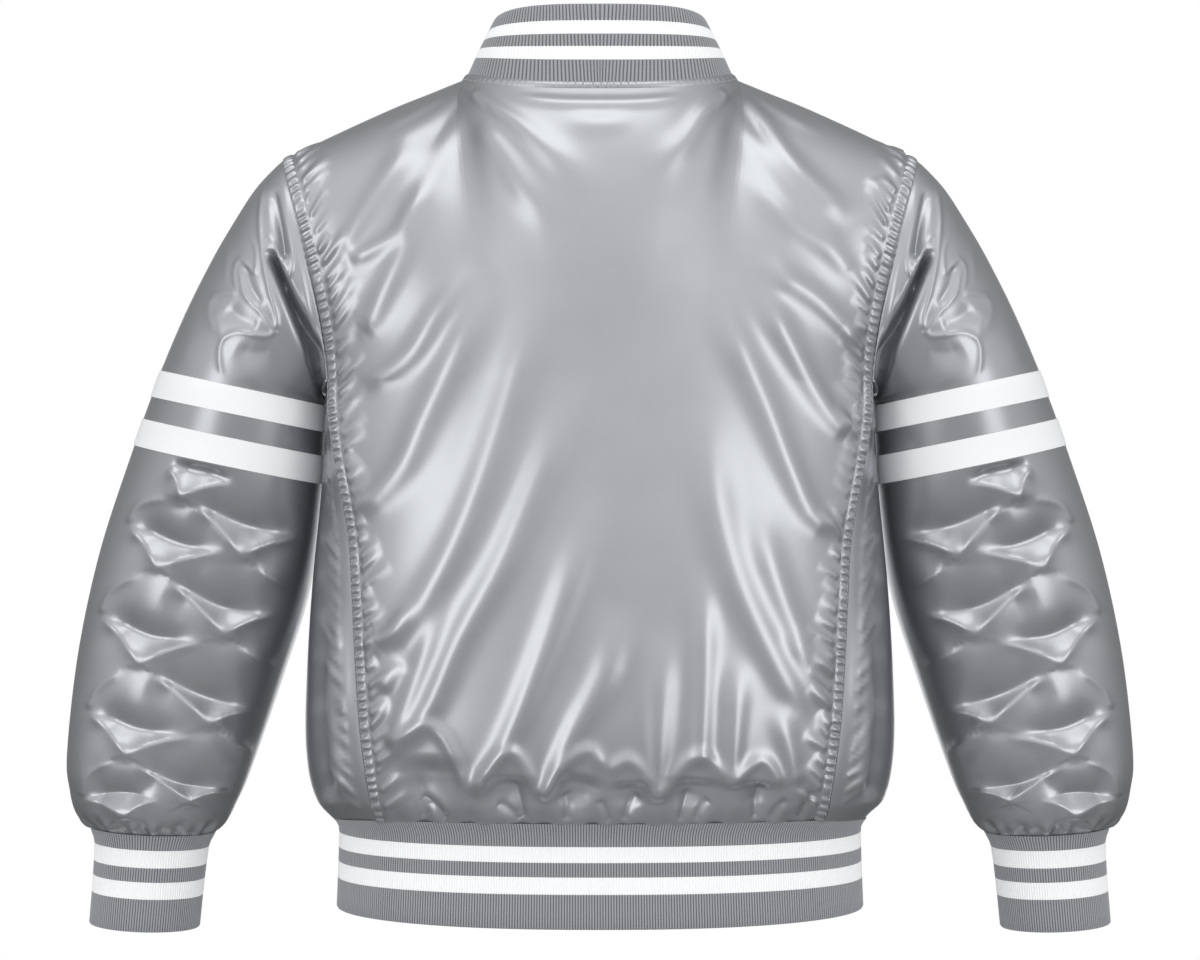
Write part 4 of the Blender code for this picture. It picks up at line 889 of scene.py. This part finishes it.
# %% Make both sleeves
last_ring = sleeve_form[-1]
turn_length = np.cumsum(np.linalg.norm(np.diff(last_ring, axis=0, prepend=last_ring[-1:]), axis=1)) / MM
gathers = np.sin(turn_length / 3.4 + 1.6 * np.sin(turn_length / 11.0)) + 0.6 * np.sin(turn_length / 1.9 + 1.0)
cuff_fade = smooth_step(sleeve_sections, 12.6, 13.5) * (1.0 - 0.8 * smooth_step(sleeve_sections, 13.6, LAST_SECTION))
crisp *= upper[:, None]
sleeve_lift = crisp + seam_groove[:, None] + buckles + 1.5 * gathers[None] * cuff_fade[:, None]
sleeve_outer = sleeve_form + sleeve_out * (sleeve_lift * MM)[..., None]
sleeve_inner = sleeve_form + sleeve_out * ((buckles + np.minimum(crisp, 0.0) - CLOTH_WALL) * MM)[..., None]
sleeves = {}
for side, turn_over in SIDES.items():
    sleeves[side] = cloth_shell(
        "sleeve_satin_" + side, turn_over(sleeve_outer), turn_over(thinned(sleeve_inner)), closed=True
    )

# %% [markdown]
# ## The sleeve bands
# Two flat white bands are sewn round each sleeve. They lie on the satin, so each one is made from the sleeve's
# own points, moved out by the cloth's thickness.

# %% White bands
BAND_GAP, BAND_WALL = 0.3, 0.6
bands = []
for side, turn_over in SIDES.items():
    for label, first, last in (("upper", 5.0, 6.0), ("lower", 7.0, 8.0)):
        rows = (sleeve_sections >= first - 1e-9) & (sleeve_sections <= last + 1e-9)
        under = sleeve_outer[rows] + sleeve_out[rows] * BAND_GAP * MM
        over = under + sleeve_out[rows] * BAND_WALL * MM
        bands.append(cloth_shell(f"band_{label}_{side}", turn_over(over), turn_over(thinned(under)), closed=True))

# %% [markdown]
# ## Rib knit
# The collar, cuffs and hem are rib knit: columns of raised loops, called wales, about 2 mm apart. Each wale is a
# small round ridge here, four points across. White yarn is knitted in as two stripes, so the stripes are faces of the
# same mesh with a second material.

# %% Ribbed bands
WALE_HEIGHT, KNIT_WALL = 0.9, 2.4
STRIPE_ROWS = [0, 0, 0, 1, 0, 1, 0, 0, 0]  # 1 where a row of faces is white


def knit_band(name, rings, outward, closed):
    """A ribbed wall on rings of points that have four columns for each wale."""
    wave = np.resize([0.0, 0.8, 1.0, 0.8], rings.shape[1])
    outer = rings + outward * wave[None, :, None] * (WALE_HEIGHT * MM)
    inner = (rings - outward * KNIT_WALL * MM)[:, ::4]
    piece = cloth_shell(name, outer, inner, 1, 4, closed, STRIPE_ROWS)
    # the wale height is kept as an attribute, which the knit materials use to paint shade into the valleys
    crest = np.concatenate([np.tile(wave, len(rings)), np.full(inner.shape[0] * inner.shape[1], 0.6)])
    piece.data.attributes.new("wale", "FLOAT", "POINT").data.foreach_set("value", crest)
    return piece


print("wales stand", WALE_HEIGHT, "mm high")

# %% The hem band
HEM_WALES = 500
FIRST_STRIPE_Z = -0.5910
HEM_BOTTOM, HEM_SAG = -0.651, 0.0025
SLIT_HALF = 0.0003  # from the middle of the front slit to its edge


def hem_loop(half_width, back_depth, front_depth, count):
    """Points round the hem, from the slit at the front round the back and on to the slit again."""
    right = oval_half(half_width, back_depth, front_depth)
    loop = np.concatenate([right[::-1], right[1:] * np.array([-1.0, 1.0])])
    along = lengths_along(loop)
    slit = np.interp(FRONT_OVERLAP, loop[:200, 0], along[:200])
    places = np.linspace(slit + SLIT_HALF, slit + along[-1] - SLIT_HALF, count) % along[-1]
    return np.stack([np.interp(places, along, loop[:, k]) for k in (0, 1)], axis=1)


hem_columns = 4 * HEM_WALES + 1
seam_sizes = read_between(BODY_SECTIONS[:, 0], BODY_SECTIONS[:, 1:], HEM_SEAM_Z)
hem_profile = [
    # share of the way from the seam to the first stripe, or below it the height; half_width, back_depth, front_depth
    (0.00, seam_sizes[0] - 0.0004, seam_sizes[1] - 0.0004, seam_sizes[2] - 0.0004),
    (0.30, 0.2092, 0.1078, 0.1112),
    (0.62, 0.2076, 0.1058, 0.1092),
    (1.00, 0.2072, 0.1052, 0.1086),
    (-0.6030, 0.2074, 0.1055, 0.1090),
    (-0.6140, 0.2077, 0.1060, 0.1095),
    (-0.6270, 0.2082, 0.1068, 0.1103),
    (-0.6400, 0.2087, 0.1077, 0.1112),
    (HEM_BOTTOM + 0.0012, 0.2091, 0.1084, 0.1119),
    (HEM_BOTTOM, 0.2083, 0.1076, 0.1111),
]
hem_rows = []
for place, half_width, back_depth, front_depth in hem_profile:
    ring = hem_loop(half_width, back_depth, front_depth, hem_columns)
    rise = hem_rise(ring[:, 1], back_depth, front_depth)
    if place >= 0:
        z = (HEM_SEAM_Z + rise) * (1 - place) + FIRST_STRIPE_Z * place
    else:
        low = smooth_step(-place, 0.627, -HEM_BOTTOM)
        z = place - low * HEM_SAG * np.clip(-ring[:, 1] / back_depth, 0.0, 1.0) ** 2
    hem_rows.append(np.column_stack([ring, z]))
hem_rows = np.array(hem_rows)
slope = np.gradient(hem_rows, axis=1)
hem_out = unit(np.stack([-slope[..., 1], slope[..., 0], 0.0 * slope[..., 0]], axis=-1))
hem_out *= np.sign((hem_out * hem_rows).sum(axis=-1).mean())
hem = knit_band("hem_knit", hem_rows, hem_out, closed=False)

# %% The cuffs
CUFF_WALES = 132
cuff_profile = [
    # share down the cuff, half_width, half_depth
    (0.000, 0.0500, 0.0442), (0.050, 0.0484, 0.0432), (0.10, 0.0466, 0.0421), (0.157, 0.0454, 0.0413),
    (0.338, 0.0446, 0.0406), (0.486, 0.0443, 0.0403), (0.662, 0.0440, 0.0401), (0.85, 0.0439, 0.0400),
    (0.985, 0.0438, 0.0400), (1.0, 0.0431, 0.0393),
]
CUFF_LENGTH, CUFF_LEAN, CUFF_GAP = 0.078, 0.04, 0.0003
outer_x, outer_z, inner_x, inner_z, centre_y, _ = SLEEVE_SECTIONS[-1]
cuff_centre = np.array([(outer_x + inner_x) / 2, centre_y, (outer_z + inner_z) / 2])
cuff_across = unit(np.array([outer_x - inner_x, 0.0, outer_z - inner_z]))
cuff_down = unit(np.array([cuff_across[2], 0.0, -cuff_across[0]]))
cuff_turns = np.linspace(0.0, 2 * math.pi, 4 * CUFF_WALES + 1)[:-1]
cuff_rows, cuff_out = [], []
for share, half_width, half_depth in cuff_profile:
    middle = cuff_centre + (cuff_down + cuff_across * CUFF_LEAN) * (share * CUFF_LENGTH + CUFF_GAP)
    sideways = np.outer(np.cos(cuff_turns), cuff_across) * half_width
    depth = np.outer(np.sin(cuff_turns), (0.0, -half_depth, 0.0))
    cuff_rows.append(middle + sideways + depth)
    cuff_out.append(unit(np.outer(np.cos(cuff_turns) / half_width, cuff_across)
                         + np.outer(np.sin(cuff_turns) / half_depth, (0.0, -1.0, 0.0))))
cuff_rows, cuff_out = np.array(cuff_rows), np.array(cuff_out)
cuffs = {}
for side, turn_over in SIDES.items():
    cuffs[side] = knit_band("cuff_knit_" + side, turn_over(cuff_rows), turn_over(cuff_out), closed=True)

# %% The collar
COLLAR_WALES = 220
slit = SLIT_HALF / NECK_RINGS["collar_top"][0]
many_turns = np.linspace(-math.pi + slit, math.pi - slit, 8001)
ring_length = lengths_along((neck_ring("collar_base", many_turns) + neck_ring("collar_top", many_turns)) / 2)
collar_turns = np.interp(np.linspace(0.0, ring_length[-1], 4 * COLLAR_WALES + 1), ring_length, many_turns)
base, top = neck_ring("collar_base", collar_turns), neck_ring("collar_top", collar_turns)
collar_shares = (-0.10, 0.09, 0.17, 0.244, 0.423, 0.59, 0.77, 0.90, 0.985, 1.0)
collar_bow = (0.0, 0.3, 0.5, 0.6, 0.7, 0.7, 0.5, 0.3, 0.0, -0.6)
around = np.gradient(base * 0.5 + top * 0.5, axis=0)
lean_out = unit(np.cross(around, top - base))
collar_rows = np.array([
    base * (1 - share) + top * share + lean_out * bow * MM for share, bow in zip(collar_shares, collar_bow)
])
collar_out = np.repeat(lean_out[None], len(collar_rows), axis=0)
collar = knit_band("collar_knit", collar_rows, collar_out, closed=False)
print("collar faces out at the back:", bool(lean_out[len(lean_out) // 2][1] < 0))

# %% [markdown]
# ## The neck binding
# A narrow satin strip covers the seam between the collar and the body. It is stitched down, so it puckers a little.

# %% Neck binding
binding_turns = np.interp(np.linspace(0.0, ring_length[-1], 601), ring_length, many_turns)
low, high = neck_ring("neckline", binding_turns), neck_ring("collar_base", binding_turns)
strip_out = unit(np.cross(np.gradient(low, axis=0), high - low))
strip_length = lengths_along(low) / MM
crimp = np.sin(strip_length / 0.95 + 1.4 * np.sin(strip_length / 6.3)) * (0.6 + 0.4 * np.sin(strip_length / 17.0))
strip_rows = []
for share in np.linspace(0.0, 1.0, 10):
    bulge = (1.0 + 0.25 * crimp) * math.sin(math.pi * share) - 0.4
    strip_rows.append(low * (1 - 0.8 * share) + high * 0.8 * share + strip_out * (bulge * MM)[:, None])
strip_rows = np.array(strip_rows)
BINDING_WALL = 1.8
binding = cloth_shell("binding_satin", strip_rows, thinned(strip_rows - strip_out * BINDING_WALL * MM))

# %% [markdown]
# ## Stitching
# Rows of grey thread hold the armholes, the side seams and the binding. One stitch is modelled as a small plump
# bead. Its copies are laid along each row and joined into one mesh.

# %% One stitch
bpy.ops.object.select_all(action="DESELECT")
bpy.ops.mesh.primitive_uv_sphere_add(segments=6, ring_count=4, radius=1.0)
stitch = bpy.context.object
bpy.ops.object.mode_set(mode="EDIT")
bpy.ops.mesh.select_all(action="SELECT")
bpy.ops.transform.resize(value=(0.34, 0.30, 1.25))
bpy.ops.mesh.quads_convert_to_tris()
bpy.ops.object.mode_set(mode="OBJECT")
stitch_points = np.array([v.co[:] for v in stitch.data.vertices]) * MM
stitch_faces = np.array([p.vertices[:] for p in stitch.data.polygons])
bpy.data.objects.remove(stitch)
print("faces of one stitch:", len(stitch_faces))

# %% Lay the rows of stitches
STITCH_PITCH = 3.1


def stitch_row(line, outward, sink=0.05):
    """Stitches along a line of points: each lies along the line, half sunk in the cloth."""
    places = lengths_along(line) / MM
    at = np.arange(STITCH_PITCH, places[-1] - STITCH_PITCH, STITCH_PITCH)
    middle = np.stack([np.interp(at, places, line[:, k]) for k in range(3)], axis=1)
    ahead = np.stack([np.interp(at + 0.5, places, line[:, k]) for k in range(3)], axis=1)
    out = unit(np.stack([np.interp(at, places, outward[:, k]) for k in range(3)], axis=1))
    along = unit(ahead - middle)
    beside = unit(np.cross(out, along))
    middle = middle + out * sink * MM
    return (
        middle[:, None]
        + stitch_points[None, :, 0:1] * beside[:, None]
        + stitch_points[None, :, 1:2] * out[:, None]
        + stitch_points[None, :, 2:3] * along[:, None]
    ).reshape(-1, 3)


stitch_lines = []
for _, grid, normals in strips.values():
    stitch_lines.append(stitch_row(grid[6:-6, -2], normals[6:-6]))
    stitch_lines.append(stitch_row(grid[len(grid) // 2 : -6, 2], normals[len(grid) // 2 : -6]))
stitch_lines.append(stitch_row(strip_rows[1, 3:-3], strip_out[3:-3], sink=0.15))
stitch_vertices = np.concatenate(stitch_lines)
count = len(stitch_vertices) // len(stitch_points)
stitch_all = (stitch_faces[None] + (np.arange(count) * len(stitch_points))[:, None, None]).reshape(-1, 3)
threads = add_mesh("seam_threads", stitch_vertices, stitch_all.tolist(), np.zeros((stitch_all.size, 2)))
print("stitches:", count)

# %% [markdown]
# ## Snap fasteners
# Six pressed metal caps run down the centre front. A cap starts as a disc. Its top is inset again and again and
# drawn up to a low dome inside a rolled rim, and a subdivision surface rounds it. Each copy gets its own mesh.

# %% Model one snap cap
SNAP_RADIUS, SNAP_HEIGHT, DISC_HEIGHT = 7.5, 3.0, 1.2
bpy.ops.object.select_all(action="DESELECT")
bpy.ops.mesh.primitive_cylinder_add(
    vertices=32, radius=SNAP_RADIUS * MM, depth=DISC_HEIGHT * MM, location=(0, 0, DISC_HEIGHT / 2 * MM)
)
cap = bpy.context.object
bpy.ops.object.transform_apply(location=True)


def select_top(cap, height):
    bpy.ops.object.mode_set(mode="OBJECT")
    for face in cap.data.polygons:
        face.select = face.normal.z > 0.9 and abs(face.center.z - height) < 1e-5 and face.center.xy.length < 1e-4
    bpy.ops.object.mode_set(mode="EDIT")


bpy.ops.object.mode_set(mode="EDIT")
bpy.ops.mesh.select_mode(type="FACE")
bpy.ops.mesh.select_all(action="DESELECT")
select_top(cap, DISC_HEIGHT * MM)
for inset, rise in ((0.9, 0.5), (0.7, -0.35), (1.2, 0.75), (1.8, 0.55), (1.6, 0.25)):
    bpy.ops.mesh.inset(thickness=inset * MM)
    bpy.ops.transform.translate(value=(0.0, 0.0, rise * MM))
bpy.ops.mesh.select_all(action="DESELECT")
bpy.ops.object.mode_set(mode="OBJECT")
rounding = cap.modifiers.new("rounding", "SUBSURF")
rounding.levels = rounding.render_levels = 1
bpy.ops.object.modifier_apply(modifier="rounding")
bpy.ops.object.shade_smooth()
cap_points = np.array([v.co[:] for v in cap.data.vertices])
cap_faces = [list(p.vertices) for p in cap.data.polygons]
bpy.data.objects.remove(cap)
print("cap height:", round(cap_points[:, 2].max() / MM, 2), "mm, faces:", len(cap_faces))

# %% Set the snaps on the front edge
TURNED_UNDER = (-0.58, -0.50)  # heights between which the cloth faces down
snaps = []
for name in [n for n in frame["nodes"] if n.startswith("snap")]:
    low, high = (np.array(corner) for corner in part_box(name))
    centre = (low + high) / 2
    tilt = math.asin(min(0.5, max(0.0, (high[1] - low[1] - SNAP_HEIGHT * MM) / (2 * SNAP_RADIUS * MM))))
    facing_up = -1.0 if TURNED_UNDER[0] < centre[2] < TURNED_UNDER[1] else 1.0
    out = np.array([0.0, math.cos(tilt), facing_up * math.sin(tilt)])
    side = np.array([1.0, 0.0, 0.0])
    rise = np.cross(out, side)
    seat = centre - out * SNAP_HEIGHT / 2 * MM
    placed = seat + cap_points[:, 0:1] * side + cap_points[:, 1:2] * rise + cap_points[:, 2:3] * out
    corner_count = sum(len(face) for face in cap_faces)
    snap = add_mesh(name + "_cap", placed, cap_faces, np.zeros((corner_count, 2)))
    snaps.append((snap, name))
print("snaps:", len(snaps))

# %% [markdown]
# ## Materials
# Each material starts from what the real one is. Colours are written as sRGB and turned into the linear values that
# the shader works with. One small function adds a node, sets it up and links it.

# %% Colour and node helpers


def linear(colour):
    values = [int(colour[k : k + 2], 16) / 255 for k in (1, 3, 5)]
    return tuple(v / 12.92 if v <= 0.04045 else ((v + 0.055) / 1.055) ** 2.4 for v in values) + (1.0,)


def add_node(tree, kind, inputs=(), **settings):
    made = tree.nodes.new(kind)
    for name, value in settings.items():
        setattr(made, name, value)
    for socket, value in dict(inputs).items():
        if isinstance(value, bpy.types.NodeSocket):
            tree.links.new(value, made.inputs[socket])
        else:
            made.inputs[socket].default_value = value
    return made


def start_material(name):
    material = bpy.data.materials.new(name)
    material.use_nodes = True
    return material, material.node_tree, material.node_tree.nodes["Principled BSDF"]


print("middle grey as linear light:", round(linear("#808080")[0], 3))

# %% [markdown]
# ### Silver satin
# Satin is woven with long floating threads, so its face is smooth and glossy along one direction. Silvery polyester
# satin shines almost like metal, with soft-edged highlights. Threads are about 0.15 mm apart; they are drawn at 1.1 mm,
# which is as fine as the picture can show, and very low.

# %% Silver satin
THREAD_MM = 1.1
FLOATS_PER_M = 90.0  # floats about 11 mm long
CLOUDS_PER_M = 26.0  # soft patches of tone about 38 mm across
satin, tree, shader = start_material("silver_satin_weave")
uv = add_node(tree, "ShaderNodeUVMap", uv_map="cloth")
weave_scale = (1000 / THREAD_MM, FLOATS_PER_M, 1.0)
floats = add_node(tree, "ShaderNodeMapping", {"Vector": uv.outputs["UV"], "Scale": weave_scale})
thread = add_node(tree, "ShaderNodeTexNoise", {"Vector": floats.outputs["Vector"], "Scale": 1.0, "Detail": 2.0})
cloudy = add_node(tree, "ShaderNodeTexNoise", {"Vector": uv.outputs["UV"], "Scale": CLOUDS_PER_M, "Detail": 3.0})
tone = add_node(tree, "ShaderNodeMix", {"Factor": cloudy.outputs["Fac"]}, data_type="RGBA")
tone.inputs["A"].default_value = linear("#A6A8AC")
tone.inputs["B"].default_value = linear("#AEB0B4")
tree.links.new(tone.outputs["Result"], shader.inputs["Base Color"])
gloss = add_node(tree, "ShaderNodeMapRange", {"Value": thread.outputs["Fac"], "To Min": 0.29, "To Max": 0.33})
tree.links.new(gloss.outputs["Result"], shader.inputs["Roughness"])
shader.inputs["Metallic"].default_value = 0.82
bump = add_node(tree, "ShaderNodeBump", {"Height": thread.outputs["Fac"], "Strength": 0.03, "Distance": 0.0002})
tree.links.new(bump.outputs["Normal"], shader.inputs["Normal"])
print("threads drawn every", THREAD_MM, "mm")

# %% [markdown]
# ### Rib knit yarn
# The rib is matt acrylic yarn. Its loops give a fine ladder along each wale, and stray fibres give it a soft edge of
# light. The same knit is made in grey and in white, with painted shade in the valleys between the wales.

# %% Rib knit in two colours
LOOP_MM = 1.3  # a wave texture of scale 1 repeats about pi times in a metre
FUZZ_PER_M = 900.0  # fibres about 1.1 mm apart; real ones are finer and would not show


def rib_knit(name, valley, dark, light):
    material, tree, shader = start_material(name)
    uv = add_node(tree, "ShaderNodeUVMap", uv_map="cloth")
    loops = add_node(
        tree, "ShaderNodeTexWave", {"Vector": uv.outputs["UV"], "Scale": 1000 / LOOP_MM / math.pi,
                                    "Distortion": 1.5, "Detail": 1.0}, bands_direction="Y",
    )
    fuzz = add_node(tree, "ShaderNodeTexNoise", {"Vector": uv.outputs["UV"], "Scale": FUZZ_PER_M, "Detail": 2.0})
    blend = add_node(tree, "ShaderNodeMath", {0: loops.outputs["Fac"], 1: fuzz.outputs["Fac"]}, operation="MULTIPLY")
    tone = add_node(tree, "ShaderNodeMix", {"Factor": blend.outputs["Value"]}, data_type="RGBA")
    tone.inputs["A"].default_value = linear(dark)
    tone.inputs["B"].default_value = linear(light)
    # painted shade: the wale attribute mixes the valley colour in between the wales, darkening them as shade would
    wale = add_node(tree, "ShaderNodeAttribute", attribute_name="wale")
    shade = add_node(
        tree, "ShaderNodeMix", {"Factor": wale.outputs["Fac"], "B": tone.outputs["Result"]}, data_type="RGBA"
    )
    shade.inputs["A"].default_value = linear(valley)
    tree.links.new(shade.outputs["Result"], shader.inputs["Base Color"])
    shader.inputs["Roughness"].default_value = 0.88
    shader.inputs["Sheen Weight"].default_value = 0.25
    bump = add_node(tree, "ShaderNodeBump", {"Height": blend.outputs["Value"], "Strength": 0.35, "Distance": 0.0004})
    tree.links.new(bump.outputs["Normal"], shader.inputs["Normal"])
    return material


# the first colour of each knit is the painted shade in the valleys between the wales
grey_rib = rib_knit("grey_rib_yarn", "#54565A", "#9C9EA3", "#B6B8BC")
white_rib = rib_knit("white_rib_yarn", "#F6F7F8", "#FAFBFC", "#FEFEFF")
print("knit loops drawn every", LOOP_MM, "mm")

# %% [markdown]
# ### White band, thread and pressed nickel
# The sleeve bands are a close flat weave. The thread is grey like the satin, and the caps are nickel-plated brass,
# pressed and polished, with faint scuffs.

# %% White band
WEAVE_MM = 1.2  # a real one is about 0.3, which would not show
WAVE_REPEATS = 3.14  # about how often a wave texture of scale 1 repeats in a metre
band_cloth, tree, shader = start_material("white_band_weave")
uv = add_node(tree, "ShaderNodeUVMap", uv_map="cloth")
waves = {"Vector": uv.outputs["UV"], "Scale": 1000 / WEAVE_MM / WAVE_REPEATS}
warp = add_node(tree, "ShaderNodeTexWave", waves, bands_direction="X")
weft = add_node(tree, "ShaderNodeTexWave", waves, bands_direction="Y")
weave = add_node(tree, "ShaderNodeMath", {0: warp.outputs["Fac"], 1: weft.outputs["Fac"]}, operation="MAXIMUM")
tone = add_node(tree, "ShaderNodeMix", {"Factor": weave.outputs["Value"]}, data_type="RGBA")
tone.inputs["A"].default_value = linear("#F0F2F5")
tone.inputs["B"].default_value = linear("#FCFDFE")
tree.links.new(tone.outputs["Result"], shader.inputs["Base Color"])
shader.inputs["Roughness"].default_value = 0.6
bump = add_node(tree, "ShaderNodeBump", {"Height": weave.outputs["Value"], "Strength": 0.12, "Distance": 0.0003})
tree.links.new(bump.outputs["Normal"], shader.inputs["Normal"])
print("band weave drawn every", WEAVE_MM, "mm")

# %% Grey thread
TWIST_PER_M = 1800.0  # twists about 0.6 mm long
thread_grey, tree, shader = start_material("grey_polyester_thread")
where = add_node(tree, "ShaderNodeTexCoord")
twist = add_node(tree, "ShaderNodeTexNoise", {"Vector": where.outputs["Object"], "Scale": TWIST_PER_M})
tone = add_node(tree, "ShaderNodeMix", {"Factor": twist.outputs["Fac"]}, data_type="RGBA")
tone.inputs["A"].default_value = linear("#A2A4A9")
tone.inputs["B"].default_value = linear("#C6C8CC")
tree.links.new(tone.outputs["Result"], shader.inputs["Base Color"])
shader.inputs["Roughness"].default_value = 0.45
print("twists of the thread per metre:", TWIST_PER_M)

# %% Pressed nickel
SCUFFS_PER_M = 700.0  # scuffs about 1.4 mm across
nickel, tree, shader = start_material("pressed_nickel")
where = add_node(tree, "ShaderNodeTexCoord")
scuffs = add_node(tree, "ShaderNodeTexNoise", {"Vector": where.outputs["Object"], "Scale": SCUFFS_PER_M, "Detail": 4.0})
gloss = add_node(tree, "ShaderNodeMapRange", {"Value": scuffs.outputs["Fac"], "To Min": 0.16, "To Max": 0.34})
tree.links.new(gloss.outputs["Result"], shader.inputs["Roughness"])
tone = add_node(tree, "ShaderNodeMix", {"Factor": scuffs.outputs["Fac"]}, data_type="RGBA")
tone.inputs["A"].default_value = linear("#B4B3AF")
tone.inputs["B"].default_value = linear("#C9C8C5")
tree.links.new(tone.outputs["Result"], shader.inputs["Base Color"])
shader.inputs["Metallic"].default_value = 1.0
print("scuffs per metre of nickel:", SCUFFS_PER_M)

# %% [markdown]
# ## Put the pieces on the frame
# Each piece gets its material, rides on the one body that a jacket has, and stands for the solid under it. The area
# of each sheet of cloth is printed.

# %% Dress the frame


def dress(piece, nodes, materials):
    for material in materials:
        piece.data.materials.append(material)
    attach(piece, "root")
    if nodes:
        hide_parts(*nodes)


dress(back, ["back_panel"], [satin])
dress(front_right, ["front_right"], [satin])
dress(front_left, ["front_left"], [satin])
dress(binding, ["neck_binding"], [satin])
dress(hem, ["hem_rib"], [grey_rib, white_rib])
dress(collar, ["collar_rib"], [grey_rib, white_rib])
for side in SIDES:
    dress(sleeves[side], ["sleeve_" + side], [satin])
    dress(cuffs[side], ["cuff_" + side], [grey_rib, white_rib])
for band in bands:
    dress(band, [band.name.replace("band_", "sleeve_stripe_")], [band_cloth])
for snap, node in snaps:
    dress(snap, [node], [nickel])
dress(threads, [], [thread_grey])
for strip, _, _ in strips.values():
    dress(strip, [], [satin])
print("bands, snaps and seam bands dressed:", len(bands) + len(snaps) + len(strips))

# %% Area of each sheet


def cloth_area(piece):
    return sum(face.area for face in piece.data.polygons) / 2


for piece in [back, front_right, front_left, *sleeves.values(), *cuffs.values(), hem, collar, binding, *bands]:
    print(piece.name, "area:", round(cloth_area(piece), 4), "m2")

# %% Count the sheets
print("sheets of satin and knit:", 6 + len(sleeves) + len(cuffs), "and white bands:", len(bands))

# %% [markdown]
# ## Light and floor
# A tall softbox stands on each side of the camera, a long one hangs overhead and draws the bright streaks on
# folds that face up, and one more lights the front. The room is bright behind the camera and darker towards its
# far end and its floor, so the cloth's edges and undersides go darker. The camera sees the room as plain white,
# and the jacket hangs well clear of a pale floor.

# %% Floor
FLOOR_RADIUS, FLOOR_Z = 3.6, -1.8
bpy.ops.object.select_all(action="DESELECT")
bpy.ops.mesh.primitive_circle_add(vertices=96, radius=FLOOR_RADIUS, fill_type="NGON", location=(0.0, 0.0, FLOOR_Z))
floor = bpy.context.object
floor.name = "pale_floor"
floor.visible_glossy = False  # the silver mirrors the dim lower room and not the floor
bpy.ops.object.transform_apply(location=True)
floor_paint, tree, shader = start_material("pale_floor_paint")
where = add_node(tree, "ShaderNodeTexCoord")
patch = add_node(tree, "ShaderNodeTexNoise", {"Vector": where.outputs["Object"], "Scale": 3.0})
tone = add_node(tree, "ShaderNodeMix", {"Factor": patch.outputs["Fac"]}, data_type="RGBA")
tone.inputs["A"].default_value = linear("#C8C8C8")
tone.inputs["B"].default_value = linear("#D0D0D0")
tree.links.new(tone.outputs["Result"], shader.inputs["Base Color"])
shader.inputs["Roughness"].default_value = 0.7
floor.data.materials.append(floor_paint)
floor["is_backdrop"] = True
print("floor at", FLOOR_Z, "m")

# %% Lights
LIGHTS = [
    # name, place, looks at, width, height, watts
    ("left_softbox", (-1.8, -2.2, -0.3), (0.0, 0.0, -0.3), 1.0, 1.7, 9.0),
    ("right_softbox", (1.8, -2.2, -0.3), (0.0, 0.0, -0.3), 1.0, 1.7, 9.0),
    ("top_softbox", (0.0, -1.6, 2.2), (0.0, 0.0, -0.3), 2.4, 1.3, 14.5),
    ("front_fill", (0.0, 2.8, -0.5), (0.0, 0.0, -0.3), 2.6, 1.6, 18.0),
]
for name, place, target, width, height, watts in LIGHTS:
    lamp = bpy.data.lights.new(name, "AREA")
    lamp.shape, lamp.size, lamp.size_y, lamp.energy = "RECTANGLE", width, height, watts
    box = bpy.data.objects.new(name, lamp)
    bpy.context.scene.collection.objects.link(box)
    aim = np.array(target) - np.array(place)
    turn = math.atan2(-aim[0], aim[1])
    box.location = place
    box.rotation_euler = (math.atan2(math.hypot(aim[0], aim[1]), -aim[2]), 0.0, turn)
    print(name, "at", place)

# %% Backdrop
world = bpy.data.worlds.new("white_studio")
bpy.context.scene.world = world
world.use_nodes = True
tree = world.node_tree
tree.nodes.clear()
seen = add_node(tree, "ShaderNodeLightPath")
facing = add_node(tree, "ShaderNodeTexCoord")
axes = add_node(tree, "ShaderNodeSeparateXYZ", {"Vector": facing.outputs["Generated"]})
ROOM_FADES = (
    # axis, where the fade starts and ends, light at its start and end
    ("Y", -0.90, 0.80, 0.97, 0.30),
    ("Z", -0.46, 0.34, 0.46, 1.16),
)
fades = []
for axis, start, end, first, last in ROOM_FADES:
    limits = {"From Min": start, "From Max": end, "To Min": first, "To Max": last}
    ramp = {"Value": axes.outputs[axis], **limits}
    fades.append(add_node(tree, "ShaderNodeMapRange", ramp, interpolation_type="SMOOTHSTEP").outputs["Result"])
    print("light along", axis, "goes from", first, "to", last)
room = add_node(tree, "ShaderNodeMath", {0: fades[0], 1: fades[1]}, operation="MULTIPLY")
glow = add_node(tree, "ShaderNodeBackground", {"Color": (1.0, 1.0, 1.0, 1.0), "Strength": room.outputs["Value"]})
white = add_node(tree, "ShaderNodeBackground", {"Color": (1.0, 1.0, 1.0, 1.0), "Strength": 1.0})
mix = add_node(
    tree, "ShaderNodeMixShader", {0: seen.outputs["Is Camera Ray"], 1: glow.outputs[0], 2: white.outputs[0]}
)
add_node(tree, "ShaderNodeOutputWorld", {"Surface": mix.outputs[0]})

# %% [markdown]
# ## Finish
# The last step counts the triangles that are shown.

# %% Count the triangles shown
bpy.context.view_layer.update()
triangles = sum(len(f.vertices) - 2 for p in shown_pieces() if p.type == "MESH" for f in p.data.polygons)
print("triangles shown:", triangles)
